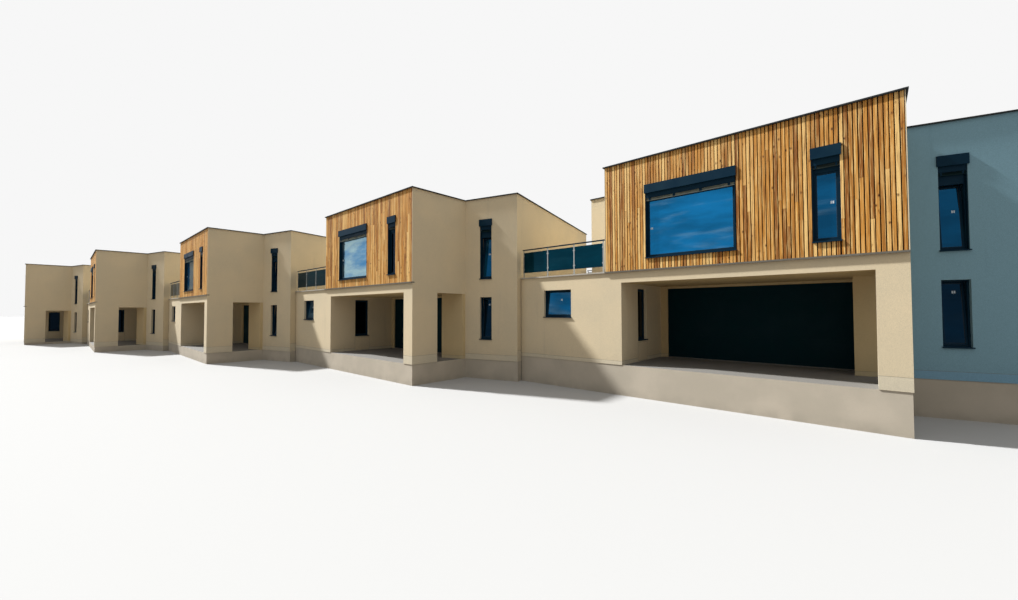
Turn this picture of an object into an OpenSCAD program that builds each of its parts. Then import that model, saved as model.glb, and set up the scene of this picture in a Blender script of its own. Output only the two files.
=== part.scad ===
// Row of terraced two-storey houses, a scale model at 1:2, in millimetres.
// Each house has a rendered block in line with the row, and a timber-clad front turned
// towards the street, with a covered porch under it and a roof terrace beside it.

/* [Row] */
// Number of houses in the row
houses = 5; // [2:1:6]
// Distance from one house to the next along the row
house_pitch = 6350; // [6300:10:6600]
// Step down from one house to the next, from right to left
house_drop = 95; // [60:5:140]
// Height of the base under the lowest house
lowest_base = 75; // [60:5:150]
// Angle by which the front of each house is turned out of the row's line
skew = 15; // [13:1:17]
// Movement joint between two houses
joint_gap = 10; // [6:1:16]
// Width of the seal in a movement joint
seal_w = 45; // [30:5:60]
// How far the seal lies behind the wall's face
seal_in = 15; // [10:1:30]

/* [Levels] */
// Underside of the first floor above the porch floor, which is also the porch ceiling
ceiling_h = 1242; // [1200:2:1300]
// Thickness of the first floor
slab_t = 158; // [140:2:200]
// Height of the upper storey, from the first floor to the roof edge
upper_h = 1660; // [1600:10:1800]
// Height of the roof edge above the roof
parapet_h = 90; // [60:5:130]
// Thickness of the roof
roof_t = 120; // [90:5:160]

/* [Plan] */
// Width of the timber-clad front
front_w = 3370; // [3330:10:3420]
// Depth of its open side, from the timber's face to the bay
side_d = 1215; // [1200:5:1260]
// Width of the bay, the narrow front in line with the row
bay_w = 1115; // [1000:5:1200]
// Depth of the house behind the bay's face
block_d = 4450; // [4200:10:4800]
// Thickness of the outer walls
wall_t = 200; // [170:5:210]
// Distance of the terrace's back wall from the timber's face
set_back = 1463; // [1400:5:1600]
// Width of the terrace's back wall
wing_w = 1090; // [1000:10:1150]

/* [Porch] */
// Distance of the porch's left side from the front's right corner
porch_left = 3108; // [3098:10:3128]
// Depth of the porch at the garage door
porch_d = 1534; // [1524:10:1594]
// Width of the pier at the right corner
pier_w = 260; // [220:5:300]
// Depth of the pier
pier_d = 534; // [484:10:544]
// Width of the side way between the pier and the hall
side_way = 605; // [560:5:610]
// Thickness of the walls round the porch
porch_t = 150; // [120:5:180]
// Thickness of the hall's front wall
hall_t = 65; // [50:5:65]
// Distance of the hall's side wall from the front's right corner
hall_x = 470; // [460:1:490]

/* [Doors] */
// Width of the wall between the garage door and the porch's left side
jamb_w = 121; // [100:1:200]
// Height of the lintel over the garage door
lintel_h = 39; // [15:1:60]
// Thickness of the garage door
garage_t = 22; // [16:1:40]
// Sections of the garage door
garage_sections = 3; // [3:1:6]
// Width and depth of the groove between two sections
groove = 5; // [3:1:8]
// Distance of the entrance door's opening from the garage door's wall
entry_gap = 25; // [20:1:60]
// Distance of the entrance door from the hall's front wall
entry_margin = 9; // [5:1:60]
// Height of the doors in the walls
door_h = 1050; // [1000:5:1100]
// Width of the terrace door's opening
terrace_door_w = 440; // [400:5:460]
// Distance of the terrace door from the timber front's left side
terrace_door_gap = 110; // [80:5:150]
// Width of a garden door's opening
garden_door_w = 1100; // [900:10:1200]

/* [Windows] */
// Height of the sills in the timber front above the first floor
upper_sill_h = 174; // [140:2:220]
// Height of the bay's upper sill above the first floor
bay_sill_h = 110; // [80:2:170]
// Height of the top of the upper windows' blind boxes above the first floor
upper_head_h = 1245; // [1200:5:1300]
// Width of the big window
big_w = 1166; // [1100:2:1240]
// Distance of the big window's right edge from the front's right corner
big_x = 1550; // [1500:1:1580]
// Width of the slim window in the timber
slim_w = 250; // [230:2:280]
// Distance of the slim window's right edge from the front's right corner
slim_x = 524; // [490:1:550]
// Width of the bay's windows
bay_win_w = 252; // [230:2:280]
// Distance of the bay's windows from its left corner
bay_win_x = 330; // [300:2:360]
// Height of the bay's lower window
bay_win_h = 800; // [760:2:880]
// Width of the small windows
small_w = 558; // [520:2:590]
// Height of the small windows
small_win_h = 472; // [440:2:520]
// Distance of the small window's right edge from the porch
small_x = 898; // [860:1:940]
// Width of the window in the porch's side
porch_win_w = 334; // [300:2:380]
// Height of the window in the porch's side
porch_win_h = 842; // [800:1:900]
// Distance of the porch's side window from the wall's face
porch_win_y = 576; // [520:1:620]
// Height of the wall above the lower windows, up to the ceiling
head_wall = 69; // [40:1:80]

/* [Window parts] */
// Width of a window frame's face
frame_face = 18; // [14:1:26]
// Depth of a window frame
frame_d = 46; // [36:2:60]
// Width of a sash's face
sash_face = 20; // [16:1:30]
// Depth of a sash
sash_d = 30; // [24:1:34]
// Width of the face of a glazed door's leaf
door_face = 38; // [30:1:50]
// Clearance between a sash and its frame
sash_gap = 0.5; // [0.2:0.1:0.8]
// Angle by which a sash that stands ajar leans inwards
ajar = 5; // [3:1:8]
// Distance of a frame behind the wall's face
reveal = 45; // [40:1:70]
// Thickness of the window glass
pane_t = 14; // [8:1:20]
// Height of a blind box
box_h = 125; // [100:5:150]
// Height of the set-back part of the box, between the box and the window frame
band_h = 70; // [50:2:90]
// How far this part lies behind the wall's face
band_in = 8; // [4:1:20]
// How far a blind box stands out
box_out = 20; // [14:1:30]
// How far a blind box covers the wall on each side
box_over = 12; // [8:1:24]
// Height of the raised blind in front of the frame
blind_h = 37; // [30:1:50]
// Height of the closed panel over the slim window's sash
slim_panel_h = 66; // [40:2:90]
// Height of the closed panel over the sash of the bay's upper window
bay_panel_h = 128; // [80:2:150]
// Depth of the raised blind
blind_d = 34; // [26:1:38]
// Thickness of a sill
sill_t = 14; // [10:1:24]
// How far a sill stands out
sill_out = 20; // [14:1:30]
// Thickness of a sill's edge
sill_fold = 6; // [4:1:8]
// How far a sill runs past the opening on each side
sill_over = 10; // [6:1:24]

/* [Skins and edges] */
// Thickness of the timber skin
timber_t = 50; // [40:1:60]
// Width of the render on each side of the timber skin
nib_w = 8; // [6:1:20]
// How far the ground storey's render lies behind the timber's face
render_in = 6; // [4:1:20]
// Height of the metal drip edge under the timber
drip_h = 20; // [14:1:24]
// How far the drip edge stands out in front of the timber
drip_out = 26; // [14:1:32]
// Thickness of the metal roof edge
edge_t = 16; // [10:1:24]
// How far the roof edge stands out
edge_lip = 22; // [16:1:28]
// Height of the terrace's edge stones
stone_t = 22; // [20:1:34]
// How far the edge stones stand out in front of the render
stone_out = 22; // [14:1:30]
// How far the base stands back behind the walls
base_set_in = 8; // [4:1:12]

/* [Terrace rail] */
// Height of the rail above the terrace
rail_h = 538; // [500:2:560]
// Height of the rail's profile
rail_t = 17; // [14:1:30]
// Width of the rail's profile
rail_w = 34; // [24:1:50]
// Width of a post
post_w = 18; // [14:1:24]
// Size of a post's foot plate
foot_w = 44; // [36:1:50]
// Thickness of a post's foot plate
foot_t = 6; // [4:1:10]
// Panels of glass along the front
rail_panels = 3; // [2:1:4]
// Panels of glass along the rear
rear_panels = 2; // [1:1:3]
// Gap under the glass
glass_foot_gap = 88; // [60:2:110]
// Gap over the glass
glass_top_gap = 40; // [24:2:60]
// Thickness of the rail's glass
rail_glass_t = 10; // [8:1:14]
// Gap between the rail and the walls at its ends
rail_end = 24; // [20:1:40]
// Distance of the rail's middle behind the wall's face
rail_in = 30; // [25:1:60]
// Height of the wall that closes the last terrace
end_wall_h = 498; // [450:2:520]

/* [Rear] */
// Distance of the first garden door from the house's right side
garden_x = 1500; // [1400:10:1600]
// Distance from one garden door to the next
garden_step = 2800; // [2700:10:2900]
// Distance of the rear's small window from the house's right side
rear_small_x = 3050; // [3000:10:3100]
// Distance of the first upper rear window from the house's right side
rear_upper_x = 700; // [600:10:800]
// Distance from one upper rear window to the next
rear_upper_step = 1600; // [1500:10:1700]
// Number of upper rear windows
rear_upper_count = 3; // [1:1:3]

/* [Hidden] */
render_colour = [0.85, 0.79, 0.66];
base_colour = [0.72, 0.68, 0.60];
timber_colour = [0.78, 0.53, 0.27];
dark_metal = [0.17, 0.18, 0.20];
pale_metal = [0.80, 0.80, 0.78];
blind_colour = [0.56, 0.58, 0.58];
glass_colour = [0.10, 0.20, 0.26];
stone_colour = [0.82, 0.80, 0.75];
seal_colour = [0.35, 0.34, 0.32];

// Levels above the porch floor of each house
floor_h = ceiling_h + slab_t;
roof_h = floor_h + upper_h;
wall_top = roof_h - edge_t;
upper_sill = floor_h + upper_sill_h;
bay_sill = floor_h + bay_sill_h;
upper_head = floor_h + upper_head_h;
box_foot = upper_head - box_h;
window_top = box_foot - band_h;
lower_head = ceiling_h - head_wall;
garage_h = ceiling_h - lintel_h;
timber_foot = floor_h + drip_h;
rail_top = floor_h + rail_h;
glass_foot = floor_h + stone_t + glass_foot_gap;
glass_top = rail_top - rail_t - glass_top_gap;

// Plan of one house. The row's frame has x along the row and y away from the street.
// The turned frame has the same origin, at the timber front's right corner, and its x
// runs along that front. turned(p) gives a point of the turned frame in the row's frame.
function turned(p) = [p.x * cos(skew) + p.y * sin(skew), p.y * cos(skew) - p.x * sin(skew)];
// y in the row's frame, at x, of a line along the turned front at depth d
function along_front(d, x) = d / cos(skew) - x * tan(skew);

render_y = render_in;
inner_y = render_y + wall_t;
upper_y = timber_t;
upper_inner_y = upper_y + wall_t;
stone_y = render_y - stone_out;
porch_back = render_y + porch_d;
pier_back = render_y + pier_d;
hall_y = pier_back + side_way;
hall_inner_y = hall_y + hall_t / cos(skew);
side_end = side_d + wall_t / cos(skew);
garage_x = jamb_w - porch_left;
garage_w = -hall_x - garage_x;
bay_left = turned([0, side_d]);
bay_inner_y = bay_left.y + wall_t;
bay_right = bay_left.x + bay_w;
rear_y = bay_left.y + block_d;
rear_inner_y = rear_y - wall_t;
party_x = bay_right - house_pitch + joint_gap;
wing_corner = turned([-front_w - wing_w, set_back]);
wing_x = wing_corner.x;
wing_inner_y = set_back + wall_t;

ground_outline = [
    [party_x, along_front(render_y, party_x)],
    turned([0, render_y]),
    bay_left,
    [bay_right, bay_left.y],
    [bay_right, rear_y],
    [party_x, rear_y]];
upper_outline = [
    wing_corner,
    turned([-front_w, set_back]),
    turned([-front_w, 0]),
    [0, 0],
    bay_left,
    [bay_right, bay_left.y],
    [bay_right, rear_y],
    [wing_x, rear_y]];
roof_outline = [
    [wing_x + wall_t, along_front(wing_inner_y, wing_x + wall_t)],
    turned([wall_t - front_w, wing_inner_y]),
    turned([wall_t - front_w, upper_inner_y]),
    turned([-wall_t, upper_inner_y]),
    turned([-wall_t, side_end]),
    turned([0, side_end]),
    [bay_right - wall_t, bay_inner_y],
    [bay_right - wall_t, rear_inner_y],
    [wing_x + wall_t, rear_inner_y]];

// Middle of the whole row, which becomes the origin
row_left = party_x - (houses - 1) * house_pitch;
row_right = bay_right + edge_lip;
row_front = -max(edge_lip * (sin(skew) + cos(skew)), drip_out * cos(skew));
row_back = rear_y + max(sill_out, edge_lip);
row_centre = [(row_left + row_right) / 2, (row_front + row_back) / 2];

function base_height(house) = lowest_base + (houses - 1 - house) * house_drop;

// An outline with all its edges moved inwards by t
function direction(a, b) = (b - a) / norm(b - a);
function inwards(a, b) = let (d = direction(a, b)) [-d.y, d.x];
function moved_corner(before, here, after, t) =
    let (n1 = inwards(before, here), n2 = inwards(here, after))
    here + (n1 + n2) * t / (1 + n1 * n2);
function inset(p, t) = let (n = len(p))
    [for (i = [0 : n - 1]) moved_corner(p[(i + n - 1) % n], p[i], p[(i + 1) % n], t)];

// Places

module at_house(house) {
    translate([-house * house_pitch - row_centre.x, -row_centre.y, 0]) children();
}

module each_house() {
    for (i = [0 : houses - 1])
        at_house(i) translate([0, 0, base_height(i)]) children();
}

module in_turned_frame() {
    rotate([0, 0, -skew]) children();
}

// A wall's own frame has x along its outer face, y into the wall and z up.
// Each of these places its children there, at the left edge of an opening.

module at_big_window() {
    in_turned_frame() translate([-big_x - big_w, 0, 0]) children();
}

module at_slim_window() {
    in_turned_frame() translate([-slim_x - slim_w, 0, 0]) children();
}

module at_small_window() {
    in_turned_frame() translate([-porch_left - small_x - small_w, render_y, 0]) children();
}

module at_porch_window() {
    in_turned_frame()
        translate([-porch_left, render_y + porch_win_y, 0])
            rotate([0, 0, 90]) children();
}

module at_bay_window() {
    translate([bay_left.x + bay_win_x, bay_left.y, 0]) children();
}

module at_terrace_door() {
    in_turned_frame()
        translate([-front_w - terrace_door_gap - terrace_door_w, set_back, 0]) children();
}

module at_entrance_door() {
    in_turned_frame()
        translate([-hall_x, porch_back - entry_gap, 0])
            rotate([0, 0, -90]) children();
}

module at_rear(from_right) {
    translate([bay_right - from_right, rear_y, 0]) rotate([0, 0, 180]) children();
}

module at_garden_doors() {
    for (k = [0 : 1]) at_rear(garden_x + k * garden_step) children();
}

module at_rear_small_window() {
    at_rear(rear_small_x) children();
}

module at_rear_upper_windows() {
    for (k = [0 : rear_upper_count - 1]) at_rear(rear_upper_x + k * rear_upper_step) children();
}

// Plain forms

module storey(points, z0, z1) {
    translate([0, 0, z0]) linear_extrude(z1 - z0) polygon(points);
}

module block(x0, x1, y0, y1, z0, z1) {
    translate([x0, y0, z0]) cube([x1 - x0, y1 - y0, z1 - z0]);
}

module hole(w, z0, z1) {
    translate([0, -1, z0]) cube([w, wall_t + 2, z1 - z0]);
}

// Ground storey

module bases() {
    p = inset(ground_outline, base_set_in);
    outline = [[party_x, p[0].y], p[1], p[2], [bay_right, p[3].y], [bay_right, p[4].y],
               [party_x, p[5].y]];
    color(base_colour)
    for (i = [0 : houses - 1])
        at_house(i) storey(outline, 0, base_height(i));
}

module front_walls() {
    color(render_colour) each_house() difference() {
        storey([ground_outline[0], turned([-porch_left, render_y]), turned([-porch_left, inner_y]),
                [party_x, along_front(inner_y, party_x)]], 0, ceiling_h);
        at_small_window() hole(small_w, lower_head - small_win_h, lower_head);
    }
}

module porch_side_walls() {
    color(render_colour) each_house() difference() {
        in_turned_frame()
            block(-porch_left - porch_t, -porch_left, inner_y, porch_back + porch_t, 0, ceiling_h);
        at_porch_window() hole(porch_win_w, lower_head - porch_win_h, lower_head);
    }
}

module garage_jambs() {
    color(render_colour) each_house() in_turned_frame()
        block(-porch_left, garage_x, porch_back, porch_back + porch_t, 0, garage_h);
}

module garage_lintels() {
    color(render_colour) each_house() in_turned_frame()
        block(-porch_left, -hall_x, porch_back, porch_back + porch_t, garage_h, ceiling_h);
}

// Inner face of the hall's front wall, at x in the turned frame
function hall_inner(x) = hall_inner_y + x * tan(skew);

// Width of the entrance door, between the hall's front wall and the garage door's wall
entry_w = porch_back - entry_gap - hall_inner(reveal + frame_d - hall_x) - entry_margin;

module hall_side_walls() {
    right = porch_t - hall_x;
    color(render_colour) each_house() difference() {
        in_turned_frame() linear_extrude(ceiling_h) polygon([
            [-hall_x, hall_inner(-hall_x)],
            [right, hall_inner(right)],
            [right, porch_back + porch_t],
            [-hall_x, porch_back + porch_t]]);
        at_entrance_door() hole(entry_w, 0, door_h);
    }
}

module hall_front_walls() {
    color(render_colour) each_house() in_turned_frame()
        linear_extrude(ceiling_h) polygon([
            [-hall_x, hall_y - hall_x * tan(skew)],
            [0, hall_y],
            [0, side_end],
            [-hall_t, side_end],
            [-hall_t, hall_inner(-hall_t)],
            [-hall_x, hall_inner(-hall_x)]]);
}

module porch_piers() {
    color(render_colour) each_house() in_turned_frame()
        block(-pier_w, 0, render_y, pier_back, 0, ceiling_h);
}

module bay_wall(z0, z1) {
    storey([bay_left, [bay_right, bay_left.y], [bay_right, bay_inner_y], turned([0, side_end])],
           z0, z1);
}

module bay_walls() {
    color(render_colour) each_house() difference() {
        bay_wall(0, ceiling_h);
        at_bay_window() hole(bay_win_w, lower_head - bay_win_h, lower_head);
    }
}

// A wall between two houses, from the turned front at depth d back to the rear wall
module side_wall(x, t, d, z0, z1) {
    storey([[x, along_front(d, x)], [x + t, along_front(d, x + t)],
            [x + t, rear_inner_y], [x, rear_inner_y]], z0, z1);
}

module party_walls() {
    color(render_colour) each_house() {
        block(bay_right - wall_t, bay_right, bay_inner_y, rear_inner_y, 0, ceiling_h);
        side_wall(party_x, porch_t, inner_y, 0, ceiling_h);
    }
}

module rear_walls() {
    color(render_colour) each_house() difference() {
        block(party_x, bay_right, rear_inner_y, rear_y, 0, ceiling_h);
        at_garden_doors() hole(garden_door_w, 0, door_h);
        at_rear_small_window() hole(small_w, lower_head - small_win_h, lower_head);
    }
}

module first_floors() {
    color(render_colour) each_house() storey(ground_outline, ceiling_h, floor_h);
}

// Upper storey

// The wall has a nib at each end, and the timber skin lies between the two
module upper_front_walls() {
    color(render_colour) each_house() difference() {
        in_turned_frame() {
            block(-front_w, 0, upper_y, upper_inner_y, floor_h, wall_top);
            block(-front_w, nib_w - front_w, 0, upper_y, timber_foot, wall_top);
            block(-nib_w, 0, 0, upper_y, timber_foot, wall_top);
        }
        at_big_window() translate([0, upper_y, 0]) hole(big_w, upper_sill, upper_head);
        at_slim_window() translate([0, upper_y, 0]) hole(slim_w, upper_sill, upper_head);
    }
}

module upper_side_walls() {
    color(render_colour) each_house() in_turned_frame() {
        block(-wall_t, 0, upper_inner_y, side_end, floor_h, wall_top);
        block(-front_w, wall_t - front_w, upper_inner_y, wing_inner_y, floor_h, wall_top);
    }
}

module terrace_walls() {
    color(render_colour) each_house() difference() {
        storey([wing_corner, turned([-front_w, set_back]), turned([-front_w, wing_inner_y]),
                [wing_x, along_front(wing_inner_y, wing_x)]], floor_h, wall_top);
        at_terrace_door() hole(terrace_door_w, floor_h, floor_h + door_h);
    }
}

module upper_bay_walls() {
    color(render_colour) each_house() difference() {
        bay_wall(floor_h, wall_top);
        at_bay_window() hole(bay_win_w, bay_sill, upper_head);
    }
}

module gable_walls() {
    color(render_colour) each_house() {
        block(bay_right - wall_t, bay_right, bay_inner_y, rear_inner_y, floor_h, wall_top);
        side_wall(wing_x, wall_t, wing_inner_y, floor_h, wall_top);
    }
}

module upper_rear_walls() {
    color(render_colour) each_house() difference() {
        block(wing_x, bay_right, rear_inner_y, rear_y, floor_h, wall_top);
        at_rear_upper_windows() hole(small_w, upper_sill, upper_head);
    }
}

module roofs() {
    top = roof_h - parapet_h;
    color(stone_colour) each_house() storey(roof_outline, top - roof_t, top);
}

// Skins and edges

module timber_cladding() {
    color(timber_colour) each_house() difference() {
        in_turned_frame() block(nib_w - front_w, -nib_w, 0, upper_y, timber_foot, wall_top);
        at_big_window() hole(big_w, upper_sill, upper_head);
        at_slim_window() hole(slim_w, upper_sill, upper_head);
    }
}

module drip_edges() {
    color(dark_metal) each_house() in_turned_frame()
        block(-front_w, 0, -drip_out, upper_y, floor_h, timber_foot);
}

module roof_edges() {
    color(dark_metal) each_house()
        translate([0, 0, wall_top]) linear_extrude(edge_t) difference() {
            polygon(inset(upper_outline, -edge_lip));
            polygon(roof_outline);
        }
}

module terrace_stones() {
    color(stone_colour) each_house() storey([
        [party_x, along_front(stone_y, party_x)], turned([-front_w, stone_y]),
        turned([-front_w, inner_y]), [party_x, along_front(inner_y, party_x)]],
        floor_h, floor_h + stone_t);
}

module end_parapet() {
    color(render_colour) at_house(houses - 1) translate([0, 0, base_height(houses - 1)])
        side_wall(party_x, porch_t, inner_y, floor_h, floor_h + end_wall_h);
}

module movement_joints() {
    front = along_front(render_y, party_x) + seal_in;
    back = rear_y - seal_in;
    color(seal_colour)
    for (i = [0 : houses - 2]) {
        top = base_height(i) + floor_h - seal_in;
        at_house(i) {
            block(party_x - joint_gap, party_x, front, front + seal_w, 0, top);
            block(party_x - joint_gap, party_x, back - seal_w, back, 0, top);
            block(party_x - joint_gap, party_x, front, back, top - seal_w, top);
        }
    }
}

// Terrace rail, along the front and again along the rear

rail_left = (party_x - render_y * sin(skew)) / cos(skew) + rail_end;
rail_right = -front_w - rail_end;
rail_y = render_y + rail_in;
rear_rail_left = party_x + rail_end;
rear_rail_right = wing_x - rail_end;
rear_rail_y = rear_y - rail_in;

module along_both_rails() {
    in_turned_frame() translate([rail_left, rail_y, 0])
        with_rail(rail_right - rail_left, rail_panels, floor_h + stone_t) children();
    translate([rear_rail_left, rear_rail_y, 0])
        with_rail(rear_rail_right - rear_rail_left, rear_panels, floor_h) children();
}

module with_rail(length, panels, foot) {
    $rail_length = length;
    $rail_panels = panels;
    $rail_foot = foot;
    $rail_step = (length - foot_w) / panels;
    children();
}

// Middle of post number k, from the left
function post_x(k) = foot_w / 2 + k * $rail_step;

module rail_posts() {
    color(pale_metal) each_house() along_both_rails()
        for (k = [0 : $rail_panels]) translate([post_x(k), 0, $rail_foot]) {
            translate([-foot_w / 2, -foot_w / 2, 0]) cube([foot_w, foot_w, foot_t]);
            translate([-post_w / 2, -post_w / 2, 0])
                cube([post_w, post_w, rail_top - rail_t - $rail_foot]);
        }
}

module rail_glass() {
    color(glass_colour) each_house() along_both_rails()
        for (k = [0 : $rail_panels - 1])
            block(post_x(k) + post_w / 2, post_x(k + 1) - post_w / 2,
                  -rail_glass_t / 2, rail_glass_t / 2, glass_foot, glass_top);
}

module handrails() {
    color(dark_metal) each_house() along_both_rails()
        block(0, $rail_length, -rail_w / 2, rail_w / 2, rail_top - rail_t, rail_top);
}

// Doors

module garage_doors() {
    section_h = garage_h / garage_sections;
    face = porch_back + reveal / 2;
    color(dark_metal) each_house() in_turned_frame() difference() {
        block(garage_x, garage_x + garage_w, face, face + garage_t, 0, garage_h);
        for (k = [1 : garage_sections - 1])
            block(garage_x - 1, garage_x + garage_w + 1, face - 1, face + groove,
                  k * section_h - groove / 2, k * section_h + groove / 2);
    }
}

module entrance_doors() {
    color(dark_metal) each_house() at_entrance_door()
        block(0, entry_w, reveal, reveal + frame_d, 0, door_h);
}

// Glazed doors. Each leaf is a sash that fits in the door's frame with a clearance.

module ring(w, d, h, face) {
    difference() {
        cube([w, d, h]);
        translate([face, -1, face]) cube([w - 2 * face, d + 2, h - 2 * face]);
    }
}

module with_leaves(w, leaves) {
    $door_w = w;
    $leaves = leaves;
    $leaf_w = (w - 2 * frame_face - (leaves + 1) * sash_gap) / leaves;
    $leaf_h = door_h - 2 * (frame_face + sash_gap);
    children();
}

module at_each_leaf() {
    edge = frame_face + sash_gap;
    for (k = [0 : $leaves - 1])
        translate([edge + k * ($leaf_w + sash_gap), reveal + (frame_d - sash_d) / 2, edge])
            children();
}

module door_frame() {
    translate([0, reveal, 0]) ring($door_w, frame_d, door_h, frame_face);
    at_each_leaf() ring($leaf_w, sash_d, $leaf_h, door_face);
}

module door_pane() {
    at_each_leaf() translate([door_face, (sash_d - pane_t) / 2, door_face])
        cube([$leaf_w - 2 * door_face, pane_t, $leaf_h - 2 * door_face]);
}

module every_terrace_door() {
    at_terrace_door() translate([0, 0, floor_h]) with_leaves(terrace_door_w, 1) children();
}

module every_garden_door() {
    at_garden_doors() with_leaves(garden_door_w, 2) children();
}

module terrace_doors() {
    color(dark_metal) each_house() every_terrace_door() door_frame();
}

module garden_doors() {
    color(dark_metal) each_house() every_garden_door() door_frame();
}

module door_panes() {
    color(glass_colour) each_house() {
        every_terrace_door() door_pane();
        every_garden_door() door_pane();
    }
}

// Windows. Each window hands its width, its sill, its head, the height of the closed panel
// over its sash and the lean of its sash to the pieces that it is made of.

module with_window(w, sill, head, panel, lean) {
    $win_w = w;
    $sill = sill;
    $head = head;
    $panel = panel;
    $lean = lean;
    children();
}

module every_upper_window() {
    at_big_window() with_window(big_w, upper_sill, window_top, 0, 0) children();
    at_slim_window() with_window(slim_w, upper_sill, window_top, slim_panel_h, 0) children();
    at_bay_window() with_window(bay_win_w, bay_sill, window_top, bay_panel_h, ajar) children();
    at_rear_upper_windows() with_window(small_w, upper_sill, window_top, 0, 0) children();
}

module lower_window(w, h, lean) {
    with_window(w, lower_head - h, lower_head, 0, lean) children();
}

module every_lower_window() {
    at_bay_window() lower_window(bay_win_w, bay_win_h, ajar) children();
    at_small_window() lower_window(small_w, small_win_h, ajar) children();
    at_porch_window() lower_window(porch_win_w, porch_win_h, 0) children();
    at_rear_small_window() lower_window(small_w, small_win_h, 0) children();
}

// The frame stands on the sill, and a closed panel can take up its upper part
module frame_piece() {
    foot = $sill + sill_t;
    translate([0, reveal, foot]) difference() {
        cube([$win_w, frame_d, $head - foot]);
        translate([frame_face, -1, frame_face])
            cube([$win_w - 2 * frame_face, frame_d + 2, $head - $panel - foot - 2 * frame_face]);
    }
}

// A sash turns inwards about its lower edge at the back
module in_sash() {
    edge = frame_face + sash_gap;
    translate([edge, reveal + (frame_d + sash_d) / 2, $sill + sill_t + edge])
        rotate([-$lean, 0, 0]) translate([0, -sash_d, 0]) children();
}

function sash_w() = $win_w - 2 * (frame_face + sash_gap);
function sash_h() = $head - $panel - $sill - sill_t - 2 * (frame_face + sash_gap);

module sash_piece() {
    in_sash() ring(sash_w(), sash_d, sash_h(), sash_face);
}

module pane_piece() {
    in_sash() translate([sash_face, (sash_d - pane_t) / 2, sash_face])
        cube([sash_w() - 2 * sash_face, pane_t, sash_h() - 2 * sash_face]);
}

// A sill lies under the frame and has its front edge folded down
module sill_piece() {
    translate([0, 0, $sill]) {
        block(-sill_over, $win_w + sill_over, -sill_out, 0, sill_t - sill_fold, sill_t);
        block(-sill_over, $win_w + sill_over, -sill_out, sill_fold - sill_out, 0, sill_t);
        block(0, $win_w, 0, reveal + frame_d, 0, sill_t);
    }
}

module box_piece() {
    block(-box_over, $win_w + box_over, -box_out, 0, box_foot, upper_head);
    block(0, $win_w, 0, reveal + frame_d, box_foot, upper_head);
    block(0, $win_w, band_in, reveal + frame_d, $head, box_foot);
}

module window_frames() {
    color(dark_metal) each_house() {
        every_upper_window() frame_piece();
        every_lower_window() frame_piece();
    }
}

module window_sashes() {
    color(dark_metal) each_house() {
        every_upper_window() sash_piece();
        every_lower_window() sash_piece();
    }
}

module window_panes() {
    color(glass_colour) each_house() {
        every_upper_window() pane_piece();
        every_lower_window() pane_piece();
    }
}

module window_sills() {
    color(dark_metal) each_house() {
        every_upper_window() sill_piece();
        every_lower_window() sill_piece();
    }
}

module blind_boxes() {
    color(dark_metal) each_house() every_upper_window() box_piece();
}

module raised_blinds() {
    color(blind_colour) each_house() every_upper_window()
        block(0, $win_w, reveal - blind_d, reveal, $head - blind_h, $head);
}

bases();
front_walls();
porch_side_walls();
garage_jambs();
garage_lintels();
hall_side_walls();
hall_front_walls();
porch_piers();
bay_walls();
party_walls();
rear_walls();
first_floors();
upper_front_walls();
upper_side_walls();
terrace_walls();
upper_bay_walls();
gable_walls();
upper_rear_walls();
roofs();
timber_cladding();
drip_edges();
roof_edges();
terrace_stones();
end_parapet();
movement_joints();
rail_posts();
rail_glass();
handrails();
garage_doors();
entrance_doors();
terrace_doors();
garden_doors();
door_panes();
window_frames();
window_sashes();
window_panes();
blind_boxes();
raised_blinds();
window_sills();
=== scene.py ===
# Looks of a stepped row of five terraced houses, a model at 1:2, in metres.
import bmesh
import bpy
import math
import random
from mathutils import Matrix, Vector


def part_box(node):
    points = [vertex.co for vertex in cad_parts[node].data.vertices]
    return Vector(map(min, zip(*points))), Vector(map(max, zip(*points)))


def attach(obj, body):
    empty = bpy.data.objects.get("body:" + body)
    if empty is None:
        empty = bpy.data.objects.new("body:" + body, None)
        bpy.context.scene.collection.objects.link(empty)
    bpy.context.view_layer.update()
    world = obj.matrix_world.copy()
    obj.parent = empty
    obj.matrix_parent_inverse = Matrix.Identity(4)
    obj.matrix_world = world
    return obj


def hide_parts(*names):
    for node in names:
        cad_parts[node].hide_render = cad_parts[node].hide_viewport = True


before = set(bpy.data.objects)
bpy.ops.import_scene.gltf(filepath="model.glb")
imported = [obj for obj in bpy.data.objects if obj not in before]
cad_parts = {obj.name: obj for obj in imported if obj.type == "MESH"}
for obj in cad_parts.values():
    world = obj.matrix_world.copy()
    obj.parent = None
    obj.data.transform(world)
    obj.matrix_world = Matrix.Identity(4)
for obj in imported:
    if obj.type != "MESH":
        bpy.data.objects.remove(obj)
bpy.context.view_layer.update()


# The row. Five like houses stand side by side on stepped bases. Each house has a front
# that is turned 15 degrees out of the row's line, and a bay that keeps to that line. A
# house is measured from the right corner of its turned front, at the porch floor.
HOUSES = 5
PITCH = 6.350
DROP = 0.095
SKEW = math.radians(15)
RENDER_Y = 0.006
PIER_BACK = 0.540

pier_low, pier_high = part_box("porch_piers")
first_porch_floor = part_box("bases")[1].z
first_corner = Vector((pier_high.x - PIER_BACK * math.sin(SKEW),
                       pier_low.y - RENDER_Y * math.cos(SKEW),
                       first_porch_floor))
in_line = [Matrix.Translation(first_corner - Vector((i * PITCH, 0, i * DROP)))
           for i in range(HOUSES)]
turned = [place @ Matrix.Rotation(-SKEW, 4, "Z") for place in in_line]


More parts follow.
